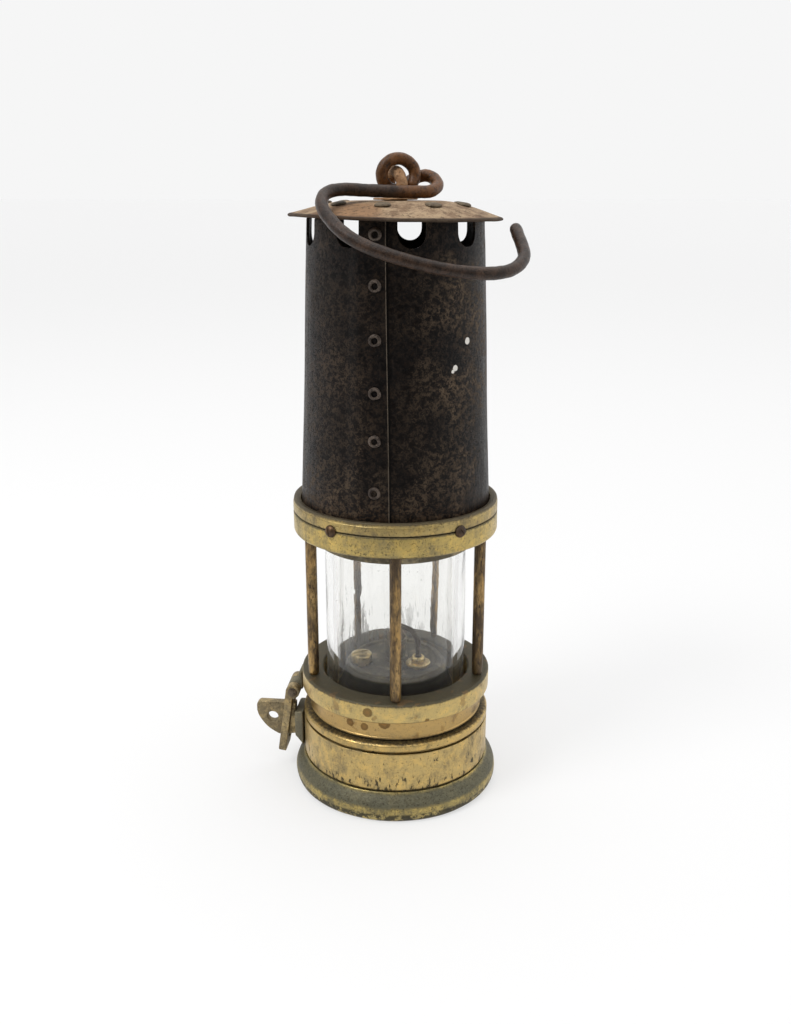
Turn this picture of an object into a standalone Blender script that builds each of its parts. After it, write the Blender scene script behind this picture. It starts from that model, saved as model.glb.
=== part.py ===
"""Miner's safety lamp: brass oil vessel and pillar frame, glass, double gauze, iron bonnet and hook.

Units are metres (lengths below are in millimetres times MM), +Z is up, and the origin is the centre
of the flat base. -Y is the front. An azimuth is measured from +X, anticlockwise seen from above.
"""

import math

import bmesh
import bpy
from mathutils import Matrix, Vector

MM = 0.001
GAP = 0.3                      # play left between neighbouring pieces

# Driving dimensions, in millimetres
FOOT_R = 44.6                  # widest radius of the flared foot
VESSEL_R = 40.4                # oil vessel
VESSEL_TOP_Z = 29.5
VESSEL_FLOOR_Z = 9.3
COLLAR_TOP_Z = 34.0
LOWER_RING_R = 40.8            # flange that the pillars stand on
LOWER_NECK_R = 37.2
LOWER_RING_TOP_Z = 52.1
GLASS_R = 30.0
GLASS_WALL = 4.8
GLASS_Z = (45.7, 113.7)
PILLAR_R = 2.4
PILLAR_PITCH_R = 36.8
PILLAR_COUNT = 5
TENON_R = 1.6
TENON_LENGTH = 3.5
UPPER_RING_R = 42.55
UPPER_RING_Z = (115.3, 123.95)
BONNET_RING_Z = (124.25, 129.6)
RING_SCREW_HEAD_R = 2.5
BONNET_SHEET = 0.9
BONNET_BASE_R = 38.95
BONNET_TOP_R = 34.45
BONNET_Z = (124.4, 241.0)
VENT_COUNT = 9
VENT_WIDTH = 10.6
VENT_BOTTOM_Z = 230.5
VENT_FIRST_AZIMUTH = 0.0       # one vent faces +X
CAP_SHEET = 1.0
CAP_RIVET_PITCH_R = 27.5
CAP_TOP = ((41.5, 240.6), (36.0, 242.5), (28.0, 245.0), (22.0, 246.1), (16.0, 246.7), (9.0, 246.75))
SEAM_AZIMUTH = -102.0
SEAM_RIVET_Z = (140.5, 160.5, 178.5, 198.0, 217.5, 235.5)
GAUZE_SHEET = 0.8
OUTER_GAUZE = ((28.6, 120.6), (23.0, 222.0))
INNER_GAUZE = ((26.6, 120.6), (20.6, 208.0))
BURNER_R = 24.6
BURNER_TOP_Z = 55.5
WICK_TUBE_R = 5.0
FILLER_PLACE = (-14.5, -5.0)
PRICKER_PLACE = (9.5, -8.5)
PRICKER_R = 1.3

HOOK_AZIMUTH = 24.0            # heading of the hook's straight limb
HOOK_SLOPE = 31.4              # how far the hook's plane droops to the front
HOOK_WIRE_R = 2.35
HOOK_EYE_R = 6.3
HOOK_EYE_BOTTOM_Z = 250.8
HOOK_EYE_PITCH = 5.2           # the curl steps back by this much in one turn
HOOK_PIVOT_Z = 251.8
SWIVEL_LEG = 6.0               # half the staple's spread
SWIVEL_WIRE_R = 2.1
SWIVEL_PLATE_Z = (247.05, 247.8)
SWIVEL_STEM_R = 2.5

LOCK_AZIMUTH = 174.0           # heading from the axis to the hasp lock, at the lamp's left side
HASP_PIN_R = 45.0              # the hinge pin's distance from the lamp's axis
HASP_PIN_Z = 38.8
HASP_LEAN = 8.5
HASP_OFFSET = 1.4              # the strap hangs from the outer side of its knuckles
HASP_LENGTH = 31.4
BARREL_HALF = 7.6              # the hinge barrel reaches this far each way along the pin
HASP_END_HALF = 6.2
HASP_SHEET = 3.4
HASP_SLOT = (7.4, 27.0)
KNUCKLE_R = 3.1
MIDDLE_KNUCKLE_HALF = 3.0
PIN_R = 1.7
EAR_SHEET = 3.6
EAR_HOLE = (55.6, 23.3)
EAR_HOLE_R = 2.4
EAR_TOP_Z = 30.7
BOSS_Z = (12.5, 29.0)

RING_STEPS = 30
SMALL_STEPS = 24
PIN_STEPS = 12
RIVET_STEPS = 8


def material(name, colour, roughness, metallic, alpha=1.0):
    made = bpy.data.materials.new(name)
    made.use_nodes = True
    shader = made.node_tree.nodes["Principled BSDF"]
    shader.inputs["Base Color"].default_value = (*colour, 1.0)
    shader.inputs["Roughness"].default_value = roughness
    shader.inputs["Metallic"].default_value = metallic
    shader.inputs["Alpha"].default_value = alpha
    return made


def empty_scene():
    for item in list(bpy.data.objects):
        bpy.data.objects.remove(item, do_unlink=True)


def collection(name):
    made = bpy.data.collections.new(name)
    bpy.context.scene.collection.children.link(made)
    return made


def add_object(name, data, finish):
    made = bpy.data.objects.new(name, data)
    if finish is not None and not data.materials:
        data.materials.append(finish)
    LAMP.objects.link(made)
    return made


def polar(radius, azimuth, z=0.0):
    """A point in millimetres at this radius, azimuth in degrees and height."""
    angle = math.radians(azimuth)
    return Vector((radius * math.cos(angle), radius * math.sin(angle), z))


def frame_at(azimuth, origin=(0.0, 0.0, 0.0)):
    """A placing in metres whose +X heads along the azimuth, for shapes drawn in millimetres."""
    place = Matrix.Translation(Vector(origin) * MM)
    return place @ Matrix.Rotation(math.radians(azimuth), 4, "Z")


def turned_mesh(name, profile, closed):
    """A shape turned about Z. The (radius, height) profile runs down its outer side."""
    mesh = bpy.data.meshes.new(name)
    count = len(profile)
    edges = [(i, i + 1) for i in range(count - 1)]
    if closed:
        edges.append((count - 1, 0))
    mesh.from_pydata([(r * MM, 0.0, z * MM) for r, z in profile], edges, [])
    return mesh


def turned(name, profile, finish, steps=RING_STEPS, place=None, closed=True):
    made = add_object(name, turned_mesh(name, profile, closed), finish)
    screw = made.modifiers.new("turn", "SCREW")
    screw.axis = "Z"
    screw.angle = 2.0 * math.pi
    screw.steps = steps
    screw.render_steps = steps
    screw.use_merge_vertices = True
    screw.merge_threshold = 0.00001
    screw.use_smooth_shade = True
    if place is not None:
        made.matrix_world = place
    return made


def solid_turned(name, profile, finish, steps=PIN_STEPS, place=None):
    """A turned shape whose profile starts and ends on the axis."""
    return turned(name, profile, finish, steps, place, closed=False)


def applied(made):
    """The object with its modifiers made part of its mesh."""
    bpy.context.view_layer.update()
    graph = bpy.context.evaluated_depsgraph_get()
    mesh = bpy.data.meshes.new_from_object(made.evaluated_get(graph))
    name = made.name
    finish = made.data.materials[0] if made.data.materials else None
    world = made.matrix_world.copy()
    bpy.data.objects.remove(made, do_unlink=True)
    shaper = bmesh.new()
    shaper.from_mesh(mesh)
    bmesh.ops.remove_doubles(shaper, verts=shaper.verts, dist=0.000001)
    shaper.to_mesh(mesh)
    shaper.free()
    mesh.materials.clear()
    solid = add_object(name, mesh, finish)
    solid.matrix_world = world
    return solid


def as_cutter(made):
    LAMP.objects.unlink(made)
    CUTTERS.objects.link(made)
    made.hide_render = True
    made.display_type = "WIRE"
    return made


def boolean(target, other, operation):
    step = target.modifiers.new(operation.lower(), "BOOLEAN")
    step.operation = operation
    step.solver = "EXACT"
    step.object = other


def cut(target, *others):
    for other in others:
        boolean(target, as_cutter(other), "DIFFERENCE")
    return target


def joined(target, *others):
    """The target with the other pieces made part of it."""
    for other in others:
        boolean(target, as_cutter(other), "UNION")
    return target


def rod(name, radius, low, high, finish=None, steps=PIN_STEPS, place=None):
    """A plain round bar standing along Z between two heights."""
    profile = ((0.0, high), (radius, high), (radius, low), (0.0, low))
    return solid_turned(name, profile, finish, steps, place)


def plate(name, outline, thickness, finish, place, holes=()):
    """A flat plate: a closed outline in millimetres in its own XY plane, centred on that plane."""
    curve = bpy.data.curves.new(name, "CURVE")
    curve.dimensions = "2D"
    curve.fill_mode = "BOTH"
    curve.extrude = thickness * MM / 2.0
    for ring in (outline, *holes):
        spline = curve.splines.new("POLY")
        spline.points.add(len(ring) - 1)
        for point, (x, y) in zip(spline.points, ring):
            point.co = (x * MM, y * MM, 0.0, 1.0)
        spline.use_cyclic_u = True
    made = add_object(name, curve, finish)
    made.matrix_world = place
    return applied(made)


def box(name, low, high, finish, place):
    shaper = bmesh.new()
    bmesh.ops.create_cube(shaper, size=1.0)
    middle = (Vector(low) + Vector(high)) * MM / 2.0
    size = (Vector(high) - Vector(low)) * MM
    bmesh.ops.scale(shaper, vec=size, verts=shaper.verts)
    bmesh.ops.translate(shaper, vec=middle, verts=shaper.verts)
    mesh = bpy.data.meshes.new(name)
    shaper.to_mesh(mesh)
    shaper.free()
    made = add_object(name, mesh, finish)
    made.matrix_world = place
    return made


def wire(name, points, radius, finish, place, sides=2):
    """Round bar bent along a line of points given in millimetres."""
    curve = bpy.data.curves.new(name, "CURVE")
    curve.dimensions = "3D"
    curve.bevel_depth = radius * MM
    curve.bevel_resolution = sides
    curve.use_fill_caps = True
    spline = curve.splines.new("POLY")
    spline.points.add(len(points) - 1)
    for point, place_mm in zip(spline.points, points):
        point.co = (*(Vector(place_mm) * MM), 1.0)
    made = add_object(name, curve, finish)
    made.matrix_world = place
    return made


def smooth_path(points, step):
    """Points about a step apart on one smooth curve through the given ones."""
    knots = [Vector(p) for p in points]
    knots = [knots[0] * 2.0 - knots[1], *knots, knots[-1] * 2.0 - knots[-2]]
    path = []
    for before, start, end, after in zip(knots, knots[1:], knots[2:], knots[3:]):
        count = max(1, round((end - start).length / step))
        for i in range(count):
            t = i / count
            path.append(
                0.5 * (2.0 * start + (end - before) * t
                       + (2.0 * before - 5.0 * start + 4.0 * end - after) * t * t
                       + (3.0 * start - before - 3.0 * end + after) * t * t * t)
            )
    path.append(knots[-2])
    return path


def arc(centre, radius, start, end, count):
    """Points of an arc in a plane, its angles in degrees."""
    angles = [math.radians(start + (end - start) * i / count) for i in range(count + 1)]
    return [(centre[0] + radius * math.cos(a), centre[1] + radius * math.sin(a)) for a in angles]


def on_joint(made, joint):
    """Parents a piece to its joint's empty without moving it."""
    bpy.context.view_layer.update()
    made.parent = joint
    made.matrix_parent_inverse = joint.matrix_world.inverted()


def joint_empty(name, place):
    made = bpy.data.objects.new(name, None)
    LAMP.objects.link(made)
    made.matrix_world = place
    return made


def between(low, high, z):
    """The radius at a height on the straight line between two (radius, height) points."""
    share = (z - low[1]) / (high[1] - low[1])
    return low[0] + (high[0] - low[0]) * share


def upright_ring(name, inner, outer, low, high, finish, steps=RING_STEPS):
    return turned(name, ((outer, high), (outer, low), (inner, low), (inner, high)), finish, steps)


# Oil vessel -----------------------------------------------------------------------------------

def make_foot():
    inner = VESSEL_R - 1.7
    profile = (
        (VESSEL_R + 0.2, 12.0), (VESSEL_R + 0.6, 11.0), (42.5, 9.8), (43.9, 8.0),
        (FOOT_R, 5.5), (FOOT_R, 3.5), (44.0, 1.2), (43.1, 0.0), (inner, 0.0), (inner, 12.0),
    )
    turned("vessel_foot", profile, BRASS_DARK)


def make_base_plate():
    radius = VESSEL_R - 2.0
    disc = solid_turned("vessel_base_plate", ((0.0, 3.0), (radius, 3.0), (radius, 0.0), (0.0, 0.0)),
                        BRASS_DARK, RING_STEPS)
    finger_hole = rod("finger_hole", 6.0, -1.0, 4.0, place=frame_at(0, (*PRICKER_PLACE, 0)))
    cut(disc, finger_hole)


def make_vessel_body():
    low_r = VESSEL_R - 2.0
    wall = 1.6
    spigot_r = VESSEL_R - 1.5
    profile = (
        (spigot_r, VESSEL_TOP_Z + 0.7), (spigot_r, VESSEL_TOP_Z), (VESSEL_R, VESSEL_TOP_Z - 0.3),
        (VESSEL_R, 12.6), (VESSEL_R - 0.3, 12.3), (low_r, 12.3), (low_r, VESSEL_FLOOR_Z - 6.0),
        (low_r - wall, VESSEL_FLOOR_Z - 6.0), (low_r - wall, VESSEL_FLOOR_Z), (0.0, VESSEL_FLOOR_Z),
    )
    inside = (
        (0.0, VESSEL_FLOOR_Z + wall), (low_r - wall, VESSEL_FLOOR_Z + wall),
        (low_r - wall, VESSEL_TOP_Z + 0.7), (spigot_r, VESSEL_TOP_Z + 0.7),
    )
    body = applied(solid_turned("vessel_body", (*inside[:-1], *profile), BRASS, RING_STEPS))
    hole = rod("pricker_floor_hole", PRICKER_R + 0.4, 0.0, 20.0, place=frame_at(0, (*PRICKER_PLACE, 0)))
    cut(body, hole)


def make_collar():
    low = VESSEL_TOP_Z + 1.0
    outer = VESSEL_R + 0.05
    profile = (
        (37.3, COLLAR_TOP_Z), (39.6, COLLAR_TOP_Z - 0.1), (outer, COLLAR_TOP_Z - 0.8), (outer, low + 0.4),
        (outer - 0.4, low), (34.6, low), (34.6, COLLAR_TOP_Z),
    )
    turned("vessel_collar", profile, BRASS)


def make_neck():
    """The oil vessel's screwed neck, which holds it in the lower ring."""
    upright_ring("vessel_neck", 30.2, 34.1, VESSEL_TOP_Z + 1.0, 42.0, BRASS)


def make_burner():
    """The raised deck that closes the vessel and carries the burner inside the glass."""
    wall = 1.4
    deck = BURNER_TOP_Z
    low = VESSEL_TOP_Z + 1.2
    inner = BURNER_R - wall
    profile = (
        (0.0, deck), (BURNER_R - 1.0, deck), (BURNER_R, deck - 1.0), (BURNER_R, low + wall),
        (29.8, low + wall), (29.8, low), (inner, low), (inner, deck - wall), (0.0, deck - wall),
    )
    shell = applied(solid_turned("burner_deck", profile, BRASS_DARK, RING_STEPS))
    holes = [
        rod("wick_hole", WICK_TUBE_R + GAP, 50.0, 60.0),
        rod("filler_hole", 3.7, 50.0, 60.0, place=frame_at(0, (*FILLER_PLACE, 0))),
        rod("pricker_hole", PRICKER_R + 1.3, 50.0, 60.0, place=frame_at(0, (*PRICKER_PLACE, 0))),
    ]
    cut(shell, *holes)
    turned("wick_tube", ((WICK_TUBE_R, 65.0), (WICK_TUBE_R, 40.0), (4.1, 40.0), (4.1, 65.0)),
           BRASS_DARK, 16)
    rod("wick", 3.8, 20.0, 67.0, WICK, 12)
    plug = ((0.0, 60.4), (3.0, 60.4), (4.6, 59.6), (4.6, 55.8), (3.4, 55.8), (3.4, 50.5), (0.0, 50.5))
    solid_turned("filler_plug", plug, BRASS, 16, frame_at(0, (*FILLER_PLACE, 0)))


def make_pricker():
    """A bent rod that rises through the vessel in its own tube to trim the wick."""
    joint = joint_empty("pricker_slide", frame_at(0, (*PRICKER_PLACE, 0)))
    heading = math.degrees(math.atan2(-PRICKER_PLACE[1], -PRICKER_PLACE[0]))
    reach = math.hypot(*PRICKER_PLACE) - 1.5
    line = ((0, 0, 2.0), (0, 0, 20.0), (0, 0, 40.0), (0, 0, 64.0), (1.2, 0, 68.0), (4.0, 0, 70.5),
            (reach, 0, 70.8))
    needle = wire("pricker", smooth_path(line, 9.0), PRICKER_R, STEEL,
                  frame_at(heading, (*PRICKER_PLACE, 0)), 1)
    needle = applied(needle)
    knob = rod("pricker_knob", 4.6, 0.8, 3.0, BRASS, place=frame_at(0, (*PRICKER_PLACE, 0)))
    on_joint(joined(needle, knob), joint)
    tube_r = PRICKER_R + 1.0
    inner = PRICKER_R + 0.4
    profile = ((tube_r, 58.5), (tube_r, 11.2), (inner, 11.2), (inner, 58.5))
    turned("pricker_tube", profile, BRASS_DARK, PIN_STEPS, frame_at(0, (*PRICKER_PLACE, 0)))


# Frame and glass ------------------------------------------------------------------------------

def pillar_azimuths():
    return [-90.0 + 360.0 / PILLAR_COUNT * i for i in range(PILLAR_COUNT)]


def screw_azimuths():
    return [azimuth + 180.0 / PILLAR_COUNT for azimuth in pillar_azimuths()]


def tenon_holes(label, low, high):
    holes = []
    for i, azimuth in enumerate(pillar_azimuths()):
        place = frame_at(0, polar(PILLAR_PITCH_R, azimuth))
        holes.append(rod(f"{label}_tenon_hole_{i + 1}", TENON_R + GAP, low, high, steps=RIVET_STEPS, place=place))
    return holes


def make_lower_ring():
    top = LOWER_RING_TOP_Z
    profile = (
        (LOWER_RING_R - 0.6, top), (LOWER_RING_R, top - 0.6), (LOWER_RING_R, 44.2),
        (LOWER_RING_R - 0.6, 43.6), (LOWER_NECK_R, 43.2), (LOWER_NECK_R, 34.6), (LOWER_NECK_R - 0.3, 34.3),
        (34.5, 34.3), (34.5, 42.3), (26.2, 42.3), (26.2, 44.0), (31.3, 44.0), (31.3, top),
    )
    ring = turned("lower_ring", profile, BRASS)
    cut(ring, *tenon_holes("lower", top - TENON_LENGTH - 0.5, top + 2.0))
    upright_ring("lower_gasket", 26.6, 30.6, 44.3, 45.4, GASKET)


def make_glass():
    low, high = GLASS_Z
    inner = GLASS_R - GLASS_WALL
    profile = (
        (GLASS_R - 0.6, high), (GLASS_R, high - 0.6), (GLASS_R, low + 0.6), (GLASS_R - 0.6, low),
        (inner + 0.6, low), (inner, low + 0.6), (inner, high - 0.6), (inner + 0.6, high),
    )
    turned("glass_chimney", profile, GLASS)
    upright_ring("upper_gasket", 26.8, 30.0, high + GAP, 115.2, GASKET)


def make_pillars():
    low = LOWER_RING_TOP_Z
    high = UPPER_RING_Z[0]
    profile = (
        (0.0, high + TENON_LENGTH), (TENON_R, high + TENON_LENGTH), (TENON_R, high - GAP),
        (PILLAR_R, high - GAP), (PILLAR_R, low + GAP), (TENON_R, low + GAP),
        (TENON_R, low - TENON_LENGTH), (0.0, low - TENON_LENGTH),
    )
    for i, azimuth in enumerate(pillar_azimuths()):
        place = frame_at(azimuth, polar(PILLAR_PITCH_R, azimuth))
        solid_turned(f"pillar_{i + 1}", profile, BRASS_RED, PIN_STEPS, place)


def radial_place(radius, azimuth, z):
    """A placing whose +Z points straight out from the lamp's axis."""
    return frame_at(azimuth, polar(radius, azimuth, z)) @ Matrix.Rotation(math.radians(90.0), 4, "Y")


def screw_holes(label):
    z = (UPPER_RING_Z[1] + BONNET_RING_Z[0]) / 2.0
    holes = []
    for i, azimuth in enumerate(screw_azimuths()):
        place = radial_place(UPPER_RING_R, azimuth, z)
        holes.append(rod(f"{label}_screw_hole_{i + 1}", 1.5, -2.6, 2.0, steps=RIVET_STEPS, place=place))
    return holes


def make_upper_ring():
    low, high = UPPER_RING_Z
    outer = UPPER_RING_R
    profile = (
        (outer - 0.3, high), (outer, high - 0.3), (outer, low + 0.6), (outer - 0.6, low),
        (33.4, low), (33.4, high),
    )
    ring = turned("upper_ring", profile, BRASS)
    cut(ring, *tenon_holes("upper", low - 2.0, low + TENON_LENGTH + 0.5), *screw_holes("upper"))
    collar = ((33.0, 118.0), (33.0, 110.2), (32.6, 109.7), (30.4, 109.7), (30.4, 115.5), (26.4, 115.5),
              (26.4, 118.0))
    turned("glass_top_collar", collar, BRASS_DARK)
    upright_ring("gauze_seat", 24.6, 33.0, 118.3, 120.3, BRASS_DARK)


def make_bonnet_ring():
    low, high = BONNET_RING_Z
    outer = UPPER_RING_R
    inner = BONNET_BASE_R + 0.4
    profile = (
        (inner, high - 0.5), (outer - 1.2, high), (outer - 0.2, high - 0.4), (outer - 0.1, high - 1.2),
        (outer, high - 1.6), (outer, low + 0.3), (outer - 0.3, low), (inner, low),
    )
    ring = turned("bonnet_ring", profile, BRASS)
    cut(ring, *screw_holes("bonnet"))


def make_ring_screws():
    z = (UPPER_RING_Z[1] + BONNET_RING_Z[0]) / 2.0
    head = RING_SCREW_HEAD_R
    profile = (
        (0.0, 1.7), (head * 0.6, 1.4), (head, 0.5), (head, GAP), (1.15, GAP), (1.15, -2.2), (0.0, -2.2),
    )
    for i, azimuth in enumerate(screw_azimuths()):
        solid_turned(f"ring_screw_{i + 1}", profile, BRASS_RED, RIVET_STEPS, radial_place(UPPER_RING_R, azimuth, z))


def gauze(name, ends, foot_r, finish):
    """A closed-topped cone of wire gauze, open at its foot."""
    (low_r, low), (high_r, high) = ends
    sheet = GAUZE_SHEET
    profile = [(0.0, high), (high_r - 1.0, high), (high_r, high - 1.0), (low_r, low + 2.0)]
    if foot_r > low_r:
        profile += [(low_r, low + 0.8), (foot_r, low + 0.8), (foot_r, low)]
    else:
        profile += [(low_r, low)]
    profile += [
        (low_r - sheet, low), (low_r - sheet, low + 2.0), (high_r - sheet, high - 1.4),
        (high_r - sheet - 0.8, high - sheet), (0.0, high - sheet),
    ]
    solid_turned(name, profile, finish, SMALL_STEPS)


def make_gauzes():
    gauze("outer_gauze", OUTER_GAUZE, 32.6, IRON)
    gauze("inner_gauze", INNER_GAUZE, 0.0, IRON)


# Bonnet and cap -------------------------------------------------------------------------------

def cap_height(radius):
    """The cap's top surface at a radius."""
    for outer, inner in zip(CAP_TOP, CAP_TOP[1:]):
        if inner[0] <= radius <= outer[0]:
            share = (radius - outer[0]) / (inner[0] - outer[0])
            return outer[1] + (inner[1] - outer[1]) * share
    return CAP_TOP[-1][1]


def bonnet_radius(z):
    return between((BONNET_BASE_R, BONNET_Z[0]), (BONNET_TOP_R, BONNET_Z[1]), z)


def vent_azimuths():
    return [VENT_FIRST_AZIMUTH + 360.0 / VENT_COUNT * i for i in range(VENT_COUNT)]


def tab_azimuths():
    return [azimuth + 180.0 / VENT_COUNT for azimuth in vent_azimuths()]


def vent_cutter(number, azimuth):
    """A round-ended slot through the bonnet's wall that runs on between its top tabs."""
    half = VENT_WIDTH / 2.0
    middle = VENT_BOTTOM_Z + half
    outline = [*arc((0.0, middle), half, 180.0, 360.0, 8), (half, 262.0), (-half, 262.0)]
    upright = Matrix.Rotation(math.radians(90.0), 4, "X")
    spread = Matrix.Rotation(math.radians(90.0), 4, "Z")
    place = frame_at(azimuth, polar(32.0, azimuth)) @ spread @ upright
    return plate(f"vent_cutter_{number}", outline, 32.0, None, place)


def tab_holes(label):
    holes = []
    for i, azimuth in enumerate(tab_azimuths()):
        place = frame_at(0, polar(CAP_RIVET_PITCH_R, azimuth))
        holes.append(rod(f"{label}_rivet_hole_{i + 1}", 1.5, 238.0, 250.0, steps=RIVET_STEPS, place=place))
    return holes


def seam_holes():
    holes = []
    for i, z in enumerate(SEAM_RIVET_Z):
        place = radial_place(bonnet_radius(z), SEAM_AZIMUTH, z)
        holes.append(rod(f"seam_hole_{i + 1}", 1.3, -3.0, 3.0, steps=RIVET_STEPS, place=place))
    return holes


def make_bonnet():
    sheet = BONNET_SHEET
    low, high = BONNET_Z
    top_gap = CAP_SHEET + GAP
    tab_end, bend = 23.5, BONNET_TOP_R - 0.3

    def tab_top(radius):
        return cap_height(radius) - top_gap

    profile = (
        (tab_end, tab_top(tab_end)), (28.0, tab_top(28.0)), (bend, tab_top(bend)), (BONNET_TOP_R, high),
        (BONNET_BASE_R, low), (BONNET_BASE_R - sheet, low), (BONNET_TOP_R - sheet, high - 0.6),
        (28.0, tab_top(28.0) - sheet), (tab_end, tab_top(tab_end) - sheet),
    )
    shell = applied(turned("bonnet", profile, IRON))
    vents = [vent_cutter(i + 1, azimuth) for i, azimuth in enumerate(vent_azimuths())]
    cut(shell, *vents, *tab_holes("tab"), *seam_holes())


def make_seam_rivets():
    sheet = BONNET_SHEET
    profile = (
        (0.0, 1.1), (1.4, 0.95), (2.2, GAP), (1.0, GAP), (1.0, -sheet - GAP), (1.9, -sheet - GAP),
        (1.5, -sheet - 0.9), (0.0, -sheet - 0.9),
    )
    for i, z in enumerate(SEAM_RIVET_Z):
        place = radial_place(bonnet_radius(z) - 0.05, SEAM_AZIMUTH, z)
        solid_turned(f"seam_rivet_{i + 1}", profile, IRON, RIVET_STEPS, place)


def make_cap():
    stem_hole_r = SWIVEL_STEM_R + GAP
    top = [*CAP_TOP, (stem_hole_r, CAP_TOP[-1][1])]
    under = [(r, z - CAP_SHEET) for r, z in top]
    profile = [*reversed(top), (CAP_TOP[0][0], CAP_TOP[0][1] - CAP_SHEET), *under[1:]]
    cap = turned("crown_cap", profile, RUST)
    cut(cap, *tab_holes("cap"))


def make_cap_rivets():
    base = cap_height(CAP_RIVET_PITCH_R) + 0.65
    tail = base - 0.65 - CAP_SHEET - GAP - BONNET_SHEET - 1.0
    profile = (
        (0.0, base + 0.9), (1.6, base + 0.7), (2.7, base), (1.2, base), (1.2, tail), (2.0, tail),
        (1.6, tail - 0.7), (0.0, tail - 0.7),
    )
    for i, azimuth in enumerate(tab_azimuths()):
        place = frame_at(azimuth, polar(CAP_RIVET_PITCH_R, azimuth))
        solid_turned(f"cap_rivet_{i + 1}", profile, RUST, RIVET_STEPS, place)


# Swivel and hook ------------------------------------------------------------------------------

def make_swivel(joint):
    low, high = SWIVEL_PLATE_Z
    stem_r = SWIVEL_STEM_R
    cap_under = CAP_TOP[-1][1] - CAP_SHEET
    washer_low = cap_under - GAP - 1.2
    peen = washer_low - GAP
    profile = (
        (0.0, high), (8.3, high), (8.6, high - 0.3), (8.6, low), (stem_r, low), (stem_r, peen),
        (3.6, peen), (2.9, peen - 1.4), (0.0, peen - 1.4),
    )
    turn = frame_at(HOOK_AZIMUTH)
    base = applied(solid_turned("swivel_eye", profile, RUST, 16, turn))
    bend_z = HOOK_PIVOT_Z - 0.3
    bow = [(0.0, y, z) for y, z in arc((0.0, bend_z), SWIVEL_LEG, 0.0, 180.0, 12)]
    legs = [(0.0, SWIVEL_LEG, low + 0.3), *bow, (0.0, -SWIVEL_LEG, low + 0.3)]
    staple = applied(wire("swivel_staple", legs, SWIVEL_WIRE_R, RUST, turn, 3))
    on_joint(joined(base, staple), joint)
    washer = upright_ring("swivel_washer", stem_r + GAP, 6.0, washer_low, washer_low + 1.2, STEEL, 16)
    on_joint(washer, joint)


def hook_line():
    """The hook's centreline as (along the straight limb, forward, height) points."""
    centre_z = HOOK_EYE_BOTTOM_Z + HOOK_EYE_R
    first, last = -45.0, 300.0
    depth = HOOK_EYE_PITCH * (270.0 - first) / 360.0
    eye = []
    count = 20
    for i in range(count + 1):
        degrees = first + (last - first) * i / count
        angle = math.radians(degrees)
        forward = depth - HOOK_EYE_PITCH * (degrees - first) / 360.0
        eye.append((HOOK_EYE_R * math.cos(angle), forward, centre_z + HOOK_EYE_R * math.sin(angle)))
    back = [(7.8, -0.9, 254.6), (11.8, 1.6, 256.0)]
    slope = math.radians(HOOK_SLOPE)
    flat = [
        (14.3, -8.0), (13.8, -3.0), (9.6, 0.7), (4.0, 1.2), (-6.0, 0.9), (-17.0, 0.2), (-26.0, -0.5),
        (-32.8, 1.9), (-36.5, 7.3), (-37.6, 13.5), (-37.0, 19.5), (-35.6, 25.5), (-32.8, 31.3),
        (-28.4, 36.4), (-22.0, 41.4), (-14.0, 46.2), (-5.0, 50.2), (3.5, 52.4), (11.0, 53.3),
        (18.0, 52.4), (24.0, 49.4), (28.8, 44.4), (31.2, 38.4), (32.6, 32.5), (33.9, 26.8),
    ]
    droop = [(u, 11.0 + v * math.cos(slope), 250.6 - v * math.sin(slope)) for u, v in flat]
    return [*eye[:-1], *smooth_path([eye[-1], *back, *droop], 3.2)]


def make_hook(joint):
    line = [(along, -forward, z) for along, forward, z in hook_line()]
    on_joint(wire("hook", line, HOOK_WIRE_R, RUST, frame_at(HOOK_AZIMUTH), 2), joint)


def make_swivel_and_hook():
    swivel_joint = joint_empty("swivel_axis", frame_at(HOOK_AZIMUTH, (0, 0, CAP_TOP[-1][1])))
    hook_joint = joint_empty("hook_axis", frame_at(HOOK_AZIMUTH, (0, 0, HOOK_PIVOT_Z)))
    on_joint(hook_joint, swivel_joint)
    make_swivel(swivel_joint)
    make_hook(hook_joint)


# Lock -----------------------------------------------------------------------------------------

def lock_frame():
    """+X points out from the lamp at the lock, and Y lies along its hinge pin."""
    return frame_at(LOCK_AZIMUTH)


def along_y(x, z):
    """A placing in the lock's frame whose +Z lies along the hinge pin."""
    return lock_frame() @ Matrix.Translation(Vector((x, 0, z)) * MM) @ Matrix.Rotation(math.radians(-90), 4, "X")


def hasp_place():
    """The hasp's flat outline has X across it and Y down its length from the pin."""
    pin = Matrix.Translation(Vector((HASP_PIN_R, 0.0, HASP_PIN_Z)) * MM)
    lean = Matrix.Rotation(math.radians(-HASP_LEAN), 4, "Y")
    across = Matrix(((0, 0, 1, 0), (1, 0, 0, 0), (0, 1, 0, 0), (0, 0, 0, 1)))
    outward = Matrix.Translation(Vector((HASP_OFFSET, 0.0, 0.0)) * MM)
    return lock_frame() @ pin @ lean @ outward @ across


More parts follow.
